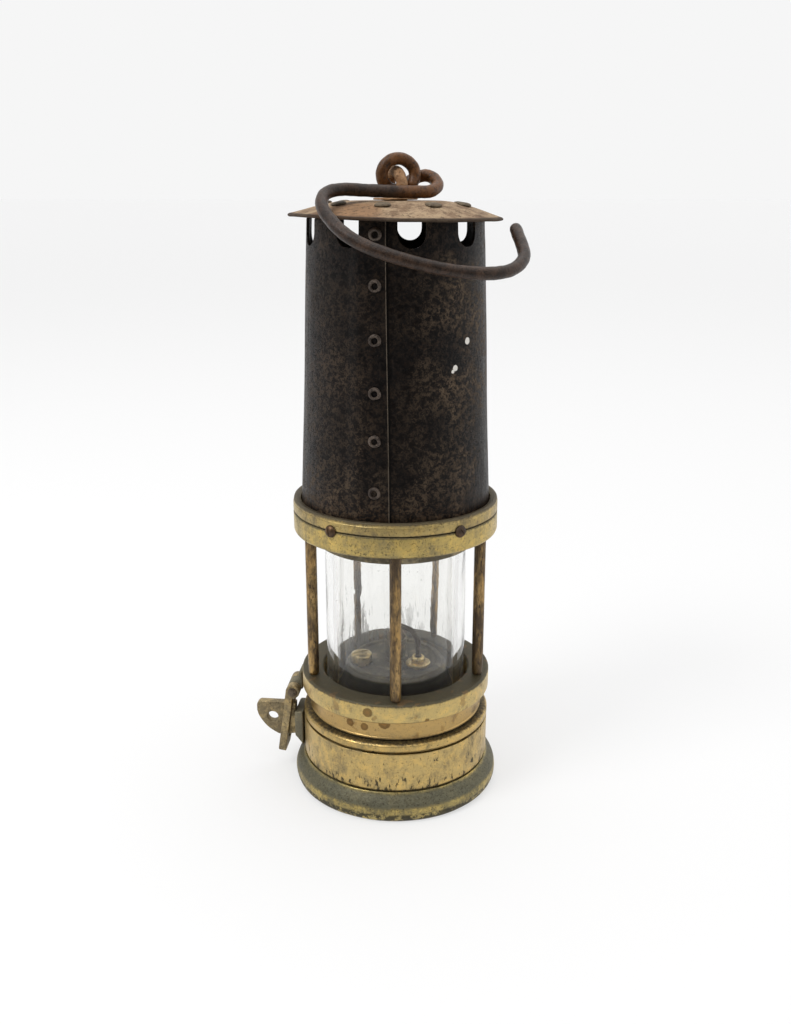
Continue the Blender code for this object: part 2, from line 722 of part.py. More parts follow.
def make_hasp(joint):
    """The strap that closes over the ear: two knuckles on the pin and a long slot."""
    inner, outer = MIDDLE_KNUCKLE_HALF + GAP, BARREL_HALF
    end = -HASP_LENGTH
    corner = 2.5
    half = HASP_END_HALF
    outline = [
        (-outer, 0.0), (-outer, -5.0), *arc((-half + corner, end + corner), corner, 180, 270, 4),
        *arc((half - corner, end + corner), corner, 270, 360, 4), (outer, -5.0), (outer, 0.0),
        (inner, 0.0), (inner, -4.2), (-inner, -4.2), (-inner, 0.0),
    ]
    slot_half = EAR_SHEET / 2.0 + 0.6
    top, bottom = -HASP_SLOT[0], -HASP_SLOT[1]
    slot = [(-slot_half, top), (slot_half, top), (slot_half, bottom), (-slot_half, bottom)]
    strap = plate("hasp", outline, HASP_SHEET, BRASS_DARK, hasp_place(), (slot,))
    pin_line = along_y(HASP_PIN_R, HASP_PIN_Z)
    joined(strap, rod("front_knuckle", KNUCKLE_R, inner, outer, place=pin_line))
    joined(strap, rod("back_knuckle", KNUCKLE_R, -outer, -inner, place=pin_line))
    cut(strap, rod("hasp_bore", PIN_R + GAP, -outer - 2.0, outer + 2.0, place=pin_line))
    on_joint(strap, joint)


def make_bracket():
    """A foot on the lower ring's flange, with the middle knuckle of the hinge."""
    half = MIDDLE_KNUCKLE_HALF
    pin_line = along_y(HASP_PIN_R, HASP_PIN_Z)
    foot_x = LOWER_RING_R + 0.35
    foot = box("hasp_bracket", (foot_x, -4.6, 44.3), (foot_x + 1.4, 4.6, 47.2), BRASS_DARK, lock_frame())
    arm = box("bracket_arm", (foot_x + 0.1, -half, HASP_PIN_Z - 0.6), (HASP_PIN_R - 1.4, half, 44.9),
              BRASS_DARK, lock_frame())
    joined(foot, arm, rod("middle_knuckle", KNUCKLE_R, -half, half, place=pin_line))
    cut(foot, rod("bracket_bore", PIN_R + GAP, -12.0, 12.0, place=pin_line))
    rod("hasp_pin", PIN_R, -BARREL_HALF - 0.6, BARREL_HALF + 0.6, STEEL, place=pin_line)


def make_ear():
    low, high = BOSS_Z
    box("lock_boss", (VESSEL_R + 0.4, -7.0, low), (44.5, 7.0, high), BRASS_DARK, lock_frame())
    corner = 2.2
    outline = [
        (44.8, EAR_TOP_Z), (44.8, 15.4), (51.5, 14.4), (53.6, 14.9), (57.7, 17.6), (60.4, 20.7),
        (62.1, 23.6), (62.8, 26.0), *arc((62.8 - corner, EAR_TOP_Z - corner), corner, 0, 90, 5),
    ]
    hole = arc(EAR_HOLE, EAR_HOLE_R, 0, 337.5, 15)
    upright = Matrix.Rotation(math.radians(90.0), 4, "X")
    plate("lock_ear", outline, EAR_SHEET, BRASS_DARK, lock_frame() @ upright, (hole,))


def make_lock():
    place = lock_frame() @ Matrix.Translation(Vector((HASP_PIN_R, 0.0, HASP_PIN_Z)) * MM)
    joint = joint_empty("hasp_hinge", place)
    make_hasp(joint)
    make_bracket()
    make_ear()


empty_scene()
LAMP = collection("miners_safety_lamp")
CUTTERS = collection("cutters")
BRASS = material("brass", (0.50, 0.38, 0.16), 0.38, 1.0)
BRASS_DARK = material("brass_patina", (0.22, 0.18, 0.10), 0.55, 0.8)
BRASS_RED = material("brass_pillar", (0.42, 0.25, 0.12), 0.42, 1.0)
IRON = material("bonnet_iron", (0.065, 0.048, 0.040), 0.5, 0.6)
RUST = material("rusted_iron", (0.24, 0.15, 0.09), 0.75, 0.3)
STEEL = material("steel", (0.20, 0.17, 0.14), 0.5, 0.9)
GLASS = material("glass", (0.85, 0.88, 0.88), 0.08, 0.0, 0.3)
GASKET = material("gasket", (0.35, 0.32, 0.27), 0.9, 0.0)
WICK = material("wick", (0.45, 0.40, 0.32), 0.95, 0.0)

make_foot()
make_base_plate()
make_vessel_body()
make_collar()
make_neck()
make_burner()
make_pricker()
make_lower_ring()
make_glass()
make_pillars()
make_upper_ring()
make_bonnet_ring()
make_ring_screws()
make_gauzes()
make_bonnet()
make_seam_rivets()
make_cap()
make_cap_rivets()
make_swivel_and_hook()
make_lock()
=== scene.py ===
"""Looks of the miner's safety lamp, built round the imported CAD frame.

Shapes are drawn in millimetres in the row frame (+Z up, -Y the front) and scaled by MM into
meshes. An azimuth is measured in degrees from +X, anticlockwise seen from above.
"""

import math

import bmesh
import bpy
from mathutils import Matrix, Vector, noise


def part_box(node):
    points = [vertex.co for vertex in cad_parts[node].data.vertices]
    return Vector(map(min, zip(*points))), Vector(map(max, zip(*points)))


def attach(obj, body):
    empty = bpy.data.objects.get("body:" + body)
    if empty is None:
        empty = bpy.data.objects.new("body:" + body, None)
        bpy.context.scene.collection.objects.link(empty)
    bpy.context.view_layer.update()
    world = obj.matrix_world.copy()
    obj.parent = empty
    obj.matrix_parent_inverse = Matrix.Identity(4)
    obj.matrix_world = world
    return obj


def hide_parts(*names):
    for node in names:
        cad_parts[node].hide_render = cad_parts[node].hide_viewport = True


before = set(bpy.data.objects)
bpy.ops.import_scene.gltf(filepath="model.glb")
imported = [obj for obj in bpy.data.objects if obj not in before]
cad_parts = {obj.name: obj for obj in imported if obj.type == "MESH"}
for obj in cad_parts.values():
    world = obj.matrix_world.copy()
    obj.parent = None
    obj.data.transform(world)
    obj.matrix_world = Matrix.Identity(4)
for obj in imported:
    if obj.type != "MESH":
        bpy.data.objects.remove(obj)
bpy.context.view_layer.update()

MM = 0.001
RING_STEPS = 168
SMALL_STEPS = 48
FILLET_STEPS = 4
HOOK_AZIMUTH = 24.0
LOCK_AZIMUTH = 174.0
SEAM_AZIMUTH = -102.0
VENT_COUNT = 9
VENT_WIDTH = 10.6
VENT_BOTTOM_Z = 230.5
BONNET_FOOT_Z = 124.4
BONNET_TOP_Z = 241.0
LAP_EDGE = -93.4               # azimuth of the lap's edge at the bonnet's foot
LAP_SLANT = 2.2                # how far that edge has moved round at the top
SIDE_STEPS = 20
SHARP = 38.0                   # faces that meet at a larger angle show an edge


# Reading the frame -------------------------------------------------------------------------------

def low(node):
    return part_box(node)[0].z / MM


def high(node):
    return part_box(node)[1].z / MM


def reach(node):
    """The outer radius of a CAD node that is turned about the lamp's axis."""
    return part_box(node)[1].x / MM


def middle(node):
    least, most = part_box(node)
    return (least + most) / (2.0 * MM)


def heading(point):
    return math.degrees(math.atan2(point.y, point.x))


# Shapes ------------------------------------------------------------------------------------------

def polar(radius, azimuth, z=0.0):
    angle = math.radians(azimuth)
    return Vector((radius * math.cos(angle), radius * math.sin(angle), z))


def spun(degrees, axis):
    return Matrix.Rotation(math.radians(degrees), 4, axis)


def facing(azimuth, origin=(0.0, 0.0, 0.0)):
    """A placing whose +X heads along the azimuth."""
    return Matrix.Translation(Vector(origin)) @ spun(azimuth, "Z")


def outward(radius, azimuth, z):
    """A placing whose +Z points straight out from the lamp's axis."""
    return facing(azimuth, polar(radius, azimuth, z)) @ spun(90.0, "Y")


def beside(node):
    """A placing at the middle of a CAD node, down at the base's height."""
    at = middle(node)
    return facing(0.0, (at.x, at.y, 0.0))


def arc(centre, radius, start, end, count):
    angles = [math.radians(start + (end - start) * i / count) for i in range(count + 1)]
    return [(centre[0] + radius * math.cos(a), centre[1] + radius * math.sin(a)) for a in angles]


def softened(points, size, closed=True, steps=FILLET_STEPS):
    """The outline with each corner rounded by up to this size."""
    count = len(points)
    rounded = []
    for i, point in enumerate(points):
        if not closed and i in (0, count - 1):
            rounded.append(tuple(point))
            continue
        here = Vector(point)
        before = Vector(points[i - 1]) - here
        after = Vector(points[(i + 1) % count]) - here
        cut = min(size, before.length * 0.45, after.length * 0.45)
        start = here + before.normalized() * cut
        end = here + after.normalized() * cut
        for k in range(steps + 1):
            t = k / steps
            rounded.append(tuple(start * (1 - t) ** 2 + here * 2 * t * (1 - t) + end * t * t))
    return rounded


def added(name, data):
    """A new object in the scene that shows a mesh, curve, light or camera."""
    made = bpy.data.objects.new(name, data)
    bpy.context.scene.collection.objects.link(made)
    return made


def shown(name, mesh, weld=None):
    """A smooth-shaded object with outward faces. Corners closer than weld metres are joined."""
    shaper = bmesh.new()
    shaper.from_mesh(mesh)
    if weld:
        bmesh.ops.remove_doubles(shaper, verts=shaper.verts, dist=weld)
    bmesh.ops.recalc_face_normals(shaper, faces=shaper.faces)
    shaper.to_mesh(mesh)
    shaper.free()
    mesh.materials.clear()
    mesh.shade_smooth()
    mesh.set_sharp_from_angle(angle=math.radians(SHARP))
    return added(name, mesh)


def mesh_object(name, corners, faces, place=None):
    """A smooth-shaded object from corners in millimetres."""
    move = place or Matrix.Identity(4)
    mesh = bpy.data.meshes.new(name)
    mesh.from_pydata([(move @ Vector(c)) * MM for c in corners], [], faces)
    return shown(name, mesh)


def ripple(point, amount, grain):
    """A small random push for a point in millimetres, the same on each run."""
    return noise.noise(Vector(point) * grain) * amount


def lathe(name, profile, steps=RING_STEPS, place=None, wobble=0.0, grain=0.09, lift=None):
    """Turns a (radius, height) outline about Z. An outline with both ends on the axis stays open."""
    solid = profile[0][0] == 0.0 and profile[-1][0] == 0.0
    corners, rows = [], []
    for radius, z in profile:
        if radius == 0.0:
            rows.append([len(corners)] * steps)
            corners.append((0.0, 0.0, z + (lift(0.0, 0.0) if lift else 0.0)))
            continue
        rows.append(list(range(len(corners), len(corners) + steps)))
        for i in range(steps):
            azimuth = 360.0 * i / steps
            at = polar(radius, azimuth, z)
            swell = 1.0 + ripple(at, wobble, grain) / radius
            rise = lift(radius, azimuth) if lift else 0.0
            corners.append((at.x * swell, at.y * swell, z + rise))
    faces = []
    pairs = list(zip(rows, rows[1:]))
    if not solid:
        pairs.append((rows[-1], rows[0]))
    for upper, lower in pairs:
        for i in range(steps):
            j = (i + 1) % steps
            ring = [upper[i], upper[j], lower[j], lower[i]]
            face = list(dict.fromkeys(ring))
            if len(face) > 2:
                faces.append(face)
    return mesh_object(name, corners, faces, place)


def smooth_path(points, step):
    """Points about a step apart on one smooth curve through the given ones."""
    knots = [Vector(p) for p in points]
    knots = [knots[0] * 2.0 - knots[1], *knots, knots[-1] * 2.0 - knots[-2]]
    path = []
    for before, start, end, after in zip(knots, knots[1:], knots[2:], knots[3:]):
        count = max(1, round((end - start).length / step))
        for i in range(count):
            t = i / count
            path.append(
                0.5 * (2.0 * start + (end - before) * t
                       + (2.0 * before - 5.0 * start + 4.0 * end - after) * t * t
                       + (3.0 * start - before - 3.0 * end + after) * t * t * t)
            )
    path.append(knots[-2])
    return path


def bar(name, line, radius, place=None, sides=SIDE_STEPS, rough=0.0, grain=0.35):
    """Round bar swept along a line, with rounded ends."""
    line = [Vector(p) for p in line]
    first = (line[0] - line[1]).normalized()
    last = (line[-1] - line[-2]).normalized()
    stations = [(line[0] + first * radius * math.sin(a), math.cos(a)) for a in (1.2, 0.8, 0.4)]
    stations += [(p, 1.0) for p in line]
    stations += [(line[-1] + last * radius * math.sin(a), math.cos(a)) for a in (0.4, 0.8, 1.2)]
    corners = []
    side = first.orthogonal().normalized()
    for i, (at, share) in enumerate(stations):
        ahead = stations[min(i + 1, len(stations) - 1)][0] - stations[max(i - 1, 0)][0]
        ahead.normalize()
        side = (side - ahead * side.dot(ahead)).normalized()
        other = ahead.cross(side)
        for k in range(sides):
            turn = 2.0 * math.pi * k / sides
            away = side * math.cos(turn) + other * math.sin(turn)
            push = ripple(at + away * radius, rough, grain)
            corners.append(at + away * (radius * share + push))
    faces = []
    for row in range(len(stations) - 1):
        for k in range(sides):
            a, b = row * sides + k, row * sides + (k + 1) % sides
            faces.append((a, b, b + sides, a + sides))
    faces.append(list(range(sides)))
    faces.append(list(range(len(corners) - sides, len(corners))))
    return mesh_object(name, corners, faces, place)


def slab(name, outline, thickness, place, holes=(), edge=0.35):
    """A flat plate with rounded edges, centred on its own XY plane."""
    curve = bpy.data.curves.new(name, "CURVE")
    curve.dimensions = "2D"
    curve.fill_mode = "BOTH"
    curve.extrude = (thickness / 2.0 - edge) * MM
    curve.bevel_depth = edge * MM
    curve.offset = -edge * MM
    curve.bevel_resolution = 2
    for ring in (outline, *holes):
        spline = curve.splines.new("POLY")
        spline.points.add(len(ring) - 1)
        for point, (x, y) in zip(spline.points, ring):
            point.co = (x * MM, y * MM, 0.0, 1.0)
        spline.use_cyclic_u = True
    drawn = added(name, curve)
    move = place.copy()
    move.translation *= MM
    drawn.matrix_world = move
    return baked(drawn)


def baked(made):
    """The object as a plain mesh in the row frame, its modifiers applied."""
    bpy.context.view_layer.update()
    graph = bpy.context.evaluated_depsgraph_get()
    mesh = bpy.data.meshes.new_from_object(made.evaluated_get(graph))
    mesh.transform(made.matrix_world)
    name = made.name
    bpy.data.objects.remove(made, do_unlink=True)
    return shown(name, mesh, 0.000002)


def combined(target, operation, *others):
    """The target with the others joined to it or cut from it. The others are used up."""
    for other in others:
        step = target.modifiers.new(operation.lower(), "BOOLEAN")
        step.operation = operation
        step.solver = "EXACT"
        step.object = other
    joined = baked(target)
    for other in others:
        bpy.data.objects.remove(other, do_unlink=True)
    return joined


def bevelled(made, width, segments=3):
    step = made.modifiers.new("bevel", "BEVEL")
    step.width = width * MM
    step.segments = segments
    step.limit_method = "ANGLE"
    step.angle_limit = math.radians(35.0)
    return baked(made)


def dress(made, finish, body, slot, *nodes):
    """Gives a new piece its material and its CAD body, and hides the CAD nodes it stands for. The slot
    is not used.
    """
    made.data.materials.append(finish)
    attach(made, body)
    if nodes:
        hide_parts(*nodes)
    return made


# Materials ---------------------------------------------------------------------------------------

def srgb(red, green, blue):
    """A linear colour from the 0-255 values of a display."""
    def linear(level):
        share = level / 255.0
        return share / 12.92 if share <= 0.04045 else ((share + 0.055) / 1.055) ** 2.4
    return (linear(red), linear(green), linear(blue), 1.0)


WHITE_BACK = srgb(246, 246, 246)     # what the camera sees behind the lamp


def shade(colour, factor):
    return [factor * c for c in colour[:3]] + [1.0]


class Nodes:
    """Adds shader nodes to a tree. Each call gives the new node's output."""

    def __init__(self, tree):
        self.tree = tree

    def link(self, source, target):
        if isinstance(source, bpy.types.NodeSocket):
            self.tree.links.new(source, target)
        else:
            target.default_value = source

    def add(self, kind, inputs=None, **settings):
        made = self.tree.nodes.new("ShaderNode" + kind)
        for name, value in settings.items():
            setattr(made, name, value)
        for key, value in (inputs or {}).items():
            self.link(value, made.inputs[key])
        return made.outputs

    def math(self, operation, a, b=0.0):
        return self.add("Math", {0: a, 1: b}, operation=operation)[0]

    def times(self, a, b):
        return self.math("MULTIPLY", a, b)

    def plus(self, a, b):
        return self.math("ADD", a, b)

    def minus(self, a, b):
        return self.math("SUBTRACT", a, b)

    def most(self, a, b):
        return self.math("MAXIMUM", a, b)

    def window(self, value, start, end, least=0.0, most=1.0, curve="SMOOTHSTEP"):
        """Runs from least to most as the value goes from start to end."""
        ends = {"Value": value, "From Min": start, "From Max": end, "To Min": least, "To Max": most}
        return self.add("MapRange", ends, interpolation_type=curve)["Result"]

    def band(self, value, start, end, soft):
        """1 where the value is between start and end."""
        rise = self.window(value, start - soft, start + soft)
        fall = self.window(value, end - soft, end + soft, 1.0, 0.0)
        return self.times(rise, fall)

    def mix(self, share, a, b):
        return self.add("Mix", {0: share, 6: a, 7: b}, data_type="RGBA")[2]

    def over(self, colour, tone, share, amount):
        """The colour with the tone laid over it, where share is how much of that amount shows."""
        return self.mix(self.times(share, amount), colour, tone)


class Finish(Nodes):
    """A procedural material in the making. Patterns lie in the piece's own space, in millimetres."""

    def __init__(self, name):
        self.material = bpy.data.materials.new(name)
        self.material.use_nodes = True
        super().__init__(self.material.node_tree)
        self.shader = self.tree.nodes["Principled BSDF"]
        self.object_space = self.add("TexCoord")["Object"]
        self.place = self.stretched(1.0)
        self.x, self.y, self.z = self.add("SeparateXYZ", {0: self.place})

    def scaled(self, x, y, z):
        """The piece's coordinates in millimetres, stretched by these factors."""
        factors = (x / MM, y / MM, z / MM)
        return self.add("Mapping", {"Scale": factors, "Vector": self.object_space})["Vector"]

    def stretched(self, upright):
        """The piece's coordinates in millimetres. Upright under 1 draws a pattern out lengthways."""
        return self.scaled(1.0, 1.0, upright)

    def noise(self, scale, detail=4.0, rough=0.6, vector=None, twist=0.0):
        inputs = {"Vector": vector or self.place, "Scale": scale, "Detail": detail,
                  "Roughness": rough, "Distortion": twist}
        return self.add("TexNoise", inputs)["Fac"]

    def near(self, point, radius, soft):
        """1 close to a point, with a ragged edge."""
        away = self.add("VectorMath", {0: self.place, 1: point}, operation="DISTANCE")["Value"]
        ragged = self.times(self.noise(1.4, 3.0), min(soft * 3.0, 1.5))
        return self.window(self.plus(away, ragged), radius, radius + soft, 1.0, 0.0)

    def bump(self, height, strength, distance=0.4):
        inputs = {"Strength": strength, "Distance": distance * MM, "Height": height}
        return self.add("Bump", inputs)["Normal"]

    def set(self, socket, value):
        self.link(value, self.shader.inputs[socket])

    def done(self, colour, roughness, metallic, normal=None):
        self.set("Base Color", colour)
        self.set("Roughness", roughness)
        self.set("Metallic", metallic)
        if normal is not None:
            self.set("Normal", normal)
        return self.material


RAGGED = 1.8                         # millimetres by which the edges of grime and painted shade bands stray


def brass_metal(paint, clean, dull, tarnish, warm, cloud, fine, drips):
    """Brass with dulled clouds in it, as (its colour, where it is dulled)."""
    mixed = paint.plus(paint.times(cloud, 0.55), paint.times(fine, 0.27))
    mixed = paint.plus(mixed, paint.times(drips, 0.18))
    edge = 0.62 - 0.24 * tarnish
    dulled = paint.window(mixed, edge - 0.09, edge + 0.09, 0.0, 0.9)
    bright = [c * s for c, s in zip(clean, (1.25, 1.18, 1.02, 1.0))]
    colour = paint.mix(paint.window(paint.noise(0.3, 5.0, 0.65), 0.42, 0.66), clean, bright)
    if warm:
        # On the flange this redder band is also darker: partly painted shade under the flange's step.
        low_z, high_z, tone = warm
        colour = paint.over(colour, srgb(*tone), paint.band(paint.z, low_z, high_z, 0.25), 0.6)
    return paint.mix(dulled, colour, dull), dulled


def grime_and_shade_bands(paint, ragged, bands):
    """1 in the bands of heights that grime and painted shade cover."""
    grime_and_shade = 0.0
    for start, end in bands:
        soft = min(1.1, 0.12 * (end - start) + 0.25)
        lift = RAGGED / 2.0
        grime_and_shade = paint.most(grime_and_shade, paint.band(ragged, start + lift, end + lift, soft))
    return grime_and_shade


def black_marks(paint, ragged, cloud, drips, pits, foot, chips):
    """1 on specks, on drips that rise from the height foot and on chips below the height chips."""
    marks = paint.window(paint.noise(1.5, 5.0, 0.75), 0.64 - 0.06 * pits, 0.665 - 0.06 * pits)
    if foot is not None:
        rise = paint.window(paint.z, foot, foot + 8.0, 1.0, 0.0)
        rise = paint.times(rise, paint.window(cloud, 0.36, 0.6, 0.5, 1.0))
        runs = paint.window(paint.plus(drips, paint.times(rise, 0.13)), 0.63, 0.67)
        marks = paint.most(marks, runs)
    if chips is not None:
        flaked = paint.window(paint.noise(0.32, 6.0, 0.7), 0.455, 0.495)
        flaked = paint.times(flaked, paint.window(ragged, chips, chips + 1.2, 1.0, 0.0))
        marks = paint.most(marks, flaked)
    return marks


def brass(name, clean, dull, tarnish, bands=(), freckles=0.0, gloss=0.30, pits=0.5, foot=None,
          warm=None, grime=None, chips=None, upright=1.0, spots=()):
    """Old turned brass. Tarnish is how much is dulled, bands are (low, high) heights of grime and of
    painted shade in grooves, under steps and between parts, warm is (low, high, colour) of a redder,
    darker band that is partly painted shade, and spots are stains. Upright is as in Finish.stretched."""
    paint = Finish(name)
    paint.place = paint.stretched(upright)
    clean, dull = srgb(*clean), srgb(*dull)
    grime = srgb(*grime) if grime else shade(dull, 0.5)
    dark = shade(dull, 0.14)
    cloud = paint.noise(0.10, 5.0, 0.62)
    fine = paint.noise(0.9, 6.0, 0.7)
    drips = paint.noise(0.75, 5.0, 0.62, paint.stretched(0.34))
    ragged = paint.plus(paint.z, paint.times(fine, RAGGED))
    colour, dulled = brass_metal(paint, clean, dull, tarnish, warm, cloud, fine, drips)
    # Grime bands, which also paint shade into grooves, under steps and between parts.
    grime_and_shade = grime_and_shade_bands(paint, ragged, bands)
    mottled = paint.mix(paint.window(fine, 0.40, 0.62), shade(grime, 0.62), grime)
    colour = paint.over(colour, mottled, grime_and_shade, 0.92)
    blotch = paint.window(paint.noise(0.5, 8.0, 0.8), 0.57, 0.62)
    colour = paint.over(colour, dark, blotch, 0.45 * pits + 0.08)
    marks = black_marks(paint, ragged, cloud, drips, pits, foot, chips)
    colour = paint.over(colour, dark, marks, 0.88)
    if freckles:
        edge = 0.66 - 0.1 * freckles
        brown = paint.window(paint.noise(0.20, 2.0, 0.4, twist=0.4), edge, edge + 0.04)
        colour = paint.over(colour, srgb(132, 98, 58), brown, 0.4)
    worn = paint.most(dulled, paint.most(grime_and_shade, marks))
    rough = paint.plus(paint.window(worn, 0.0, 1.0, gloss, gloss + 0.22), paint.times(fine, 0.12))
    metal = paint.window(worn, 0.0, 1.0, 1.0, 0.45)
    turning = paint.noise(4.0, 2.0, 0.5, paint.scaled(0.03, 0.03, 1.0))
    relief = paint.plus(paint.times(turning, 0.35), paint.times(fine, 0.8))
    relief = paint.bump(paint.minus(relief, marks), 0.5, 0.14)
    return paint.done(stained(paint, colour, spots), rough, metal, relief)


def stained(paint, colour, spots):
    """The colour with round brown stains over it, each a (point, radius) in millimetres."""
    for point, radius in spots:
        ring = paint.near(point, radius, 0.35)
        core = paint.near(point, radius * 0.6, 0.5)
        colour = paint.over(colour, srgb(92, 66, 38), ring, 0.75)
        colour = paint.over(colour, srgb(150, 112, 66), core, 0.45)
    return colour


CHIPS = (((27.0, -24.0, 196.3), 1.5), ((22.4, -28.9, 186.8), 1.3), ((21.4, -29.6, 185.6), 0.9),
         ((-14.0, -36.1, 130.9), 0.8))


def brown_sheet(paint, cloud, patch, fine):
    """Dark brown iron with olive patches, mostly right and low, and a painted sheen lightening the left
    side, as (its colour, where it is olive).
    """
    colour = paint.mix(paint.window(fine, 0.35, 0.66), srgb(14, 10, 8), srgb(46, 35, 28))
    olive = paint.times(paint.window(cloud, 0.38, 0.60), paint.window(patch, 0.43, 0.58))
    right = paint.window(paint.x, 0.0, 24.0)
    lower = paint.window(paint.z, 136.0, 172.0, 0.65, 0.0)
    olive = paint.times(olive, paint.window(paint.most(right, lower), 0.0, 1.0, 0.32, 1.0))
    # Painted sheen: the left side is lifted to a paler purplish grey.
    left = paint.window(paint.x, -32.0, -8.0, 0.5, 0.0)
    colour = paint.mix(left, colour, srgb(48, 41, 38))
    return paint.over(colour, srgb(98, 83, 67), olive, 0.92), olive


def black_scale(paint, cloud, patch, fine):
    spread = paint.plus(paint.times(patch, 0.75), paint.times(fine, 0.25))
    scale = paint.window(spread, 0.487, 0.515, 1.0, 0.0)
    return paint.times(scale, paint.window(cloud, 0.36, 0.56, 1.0, 0.55))


def pitted(paint):
    pits = paint.window(paint.noise(0.85, 6.0, 0.74, twist=0.3), 0.56, 0.61)
    pits = paint.times(pits, paint.window(paint.noise(0.08, 3.0), 0.42, 0.58))
    crackle = paint.window(paint.noise(1.5, 5.0, 0.7, paint.stretched(0.8)), 0.545, 0.585)
    return paint.most(pits, paint.times(crackle, 0.8))


def sooted_and_front_shaded(paint, colour, fine):
    """The colour with black smudges, painted shade over the front middle and a brown foot."""
    smudge = paint.window(paint.noise(0.045, 4.0, 0.6, twist=0.3), 0.44, 0.60, 0.0, 0.36)
    # Painted shade: a dark stretch over the front middle of the bonnet.
    ahead = paint.window(paint.y, -20.0, 0.0, 0.5, 0.0)
    ahead = paint.times(paint.band(paint.x, -10.0, 8.0, 6.0), ahead)
    colour = paint.mix(paint.most(smudge, ahead), colour, srgb(9, 6, 5))
    foot = paint.times(paint.band(paint.z, 118.0, 136.0, 6.0), paint.window(fine, 0.45, 0.7))
    return paint.over(colour, srgb(88, 66, 46), foot, 0.5)


def lap_lined(paint, colour, fine):
    """The colour with a painted highlight along the lap's edge, partly wear, and a painted shadow
    beside it.
    """
    turn = paint.times(paint.math("ARCTAN2", paint.y, paint.x), 180.0 / math.pi)
    slant = paint.window(paint.z, BONNET_FOOT_Z, BONNET_TOP_Z, LAP_EDGE, LAP_EDGE - LAP_SLANT)
    offset = paint.minus(turn, slant)
    # Painted highlight, partly wear: a pale line along the lap's edge.
    worn = paint.window(fine, 0.3, 0.55, 0.35, 1.0)
    worn = paint.times(paint.band(offset, -0.42, 0.02, 0.12), worn)
    colour = paint.mix(worn, colour, srgb(104, 94, 82))
    # Painted shadow beside the lap's edge.
    return paint.over(colour, srgb(10, 8, 7), paint.band(offset, 0.05, 1.1, 0.25), 0.8)


def bonnet_iron():
    """Black-brown sheet iron: black scale in ragged patches over brown, with chips to white."""
    paint = Finish("bonnet_iron_look")
    cloud = paint.noise(0.055, 4.0, 0.6)
    patch = paint.noise(0.42, 9.0, 0.8, paint.stretched(1.15), 0.4)
    fine = paint.noise(0.9, 7.0, 0.74)
    streak = paint.noise(0.5, 5.0, 0.62, paint.stretched(0.10))
    colour, olive = brown_sheet(paint, cloud, patch, fine)
    scale = black_scale(paint, cloud, patch, fine)
    colour = paint.over(colour, srgb(3, 2, 2), scale, 0.96)
    pits = pitted(paint)
    colour = paint.over(colour, srgb(8, 6, 5), pits, 0.9)
    colour = paint.mix(paint.window(streak, 0.58, 0.75, 0.0, 0.35), colour, srgb(74, 64, 56))
    colour = lap_lined(paint, sooted_and_front_shaded(paint, colour, fine), fine)
    for point, radius in CHIPS:
        colour = paint.mix(paint.near(point, radius, 0.15), colour, srgb(232, 228, 220))
    rough = paint.window(paint.plus(olive, pits), 0.0, 1.0, 0.34, 0.66)
    rough = paint.plus(rough, paint.window(streak, 0.3, 0.7, -0.05, 0.08))
    relief = paint.minus(paint.times(fine, 0.6), paint.times(scale, 0.6))
    relief = paint.bump(paint.minus(relief, pits), 0.4, 0.14)
    paint.set("Specular IOR Level", 0.12)
    return paint.done(colour, rough, 0.0, relief)


def rust(name, pale, deep, dark, scale=1.0, rough_level=0.82, metallic=0.1, glow=None, rim=None):
    """Rusted iron: two rust tones, dark scale in patches, and a grainy surface. Glow is a (point,
    radius, colour) round which rust is brighter, and rim a (radius, colour) past which it darkens."""
    paint = Finish(name)
    dark = srgb(*dark)
    cloud = paint.noise(0.16 * scale, 5.0, 0.65)
    fine = paint.noise(1.3 * scale, 7.0, 0.75)
    grain = paint.noise(4.5, 3.0, 0.7)
    blend = paint.plus(paint.times(cloud, 0.6), paint.times(fine, 0.4))
    colour = paint.mix(paint.window(blend, 0.42, 0.58), srgb(*deep), srgb(*pale))
    if glow:
        point, radius, tone = glow
        around = paint.near(point, radius, radius * 0.5)
        around = paint.times(around, paint.window(blend, 0.38, 0.56, 0.25, 1.0))
        colour = paint.over(colour, srgb(*tone), around, 0.8)
    patches = paint.window(paint.noise(0.5 * scale, 7.0, 0.76, twist=0.3), 0.53, 0.61)
    colour = paint.over(colour, dark, patches, 0.72)
    colour = paint.mix(paint.window(grain, 0.58, 0.72, 0.0, 0.55), colour, dark)
    if rim:
        radius, tone = rim
        squares = paint.plus(paint.times(paint.x, paint.x), paint.times(paint.y, paint.y))
        out = paint.plus(paint.math("SQRT", squares), paint.times(fine, 1.6))
        colour = paint.mix(paint.window(out, radius, radius + 1.4, 0.0, 0.85), colour, srgb(*tone))
    rough = paint.window(fine, 0.3, 0.7, rough_level - 0.1, rough_level + 0.08)
    relief = paint.plus(paint.times(fine, 1.0), paint.times(grain, 0.35))
    paint.set("Specular IOR Level", 0.26)
    return paint.done(colour, rough, metallic, paint.bump(relief, 0.6, 0.22))


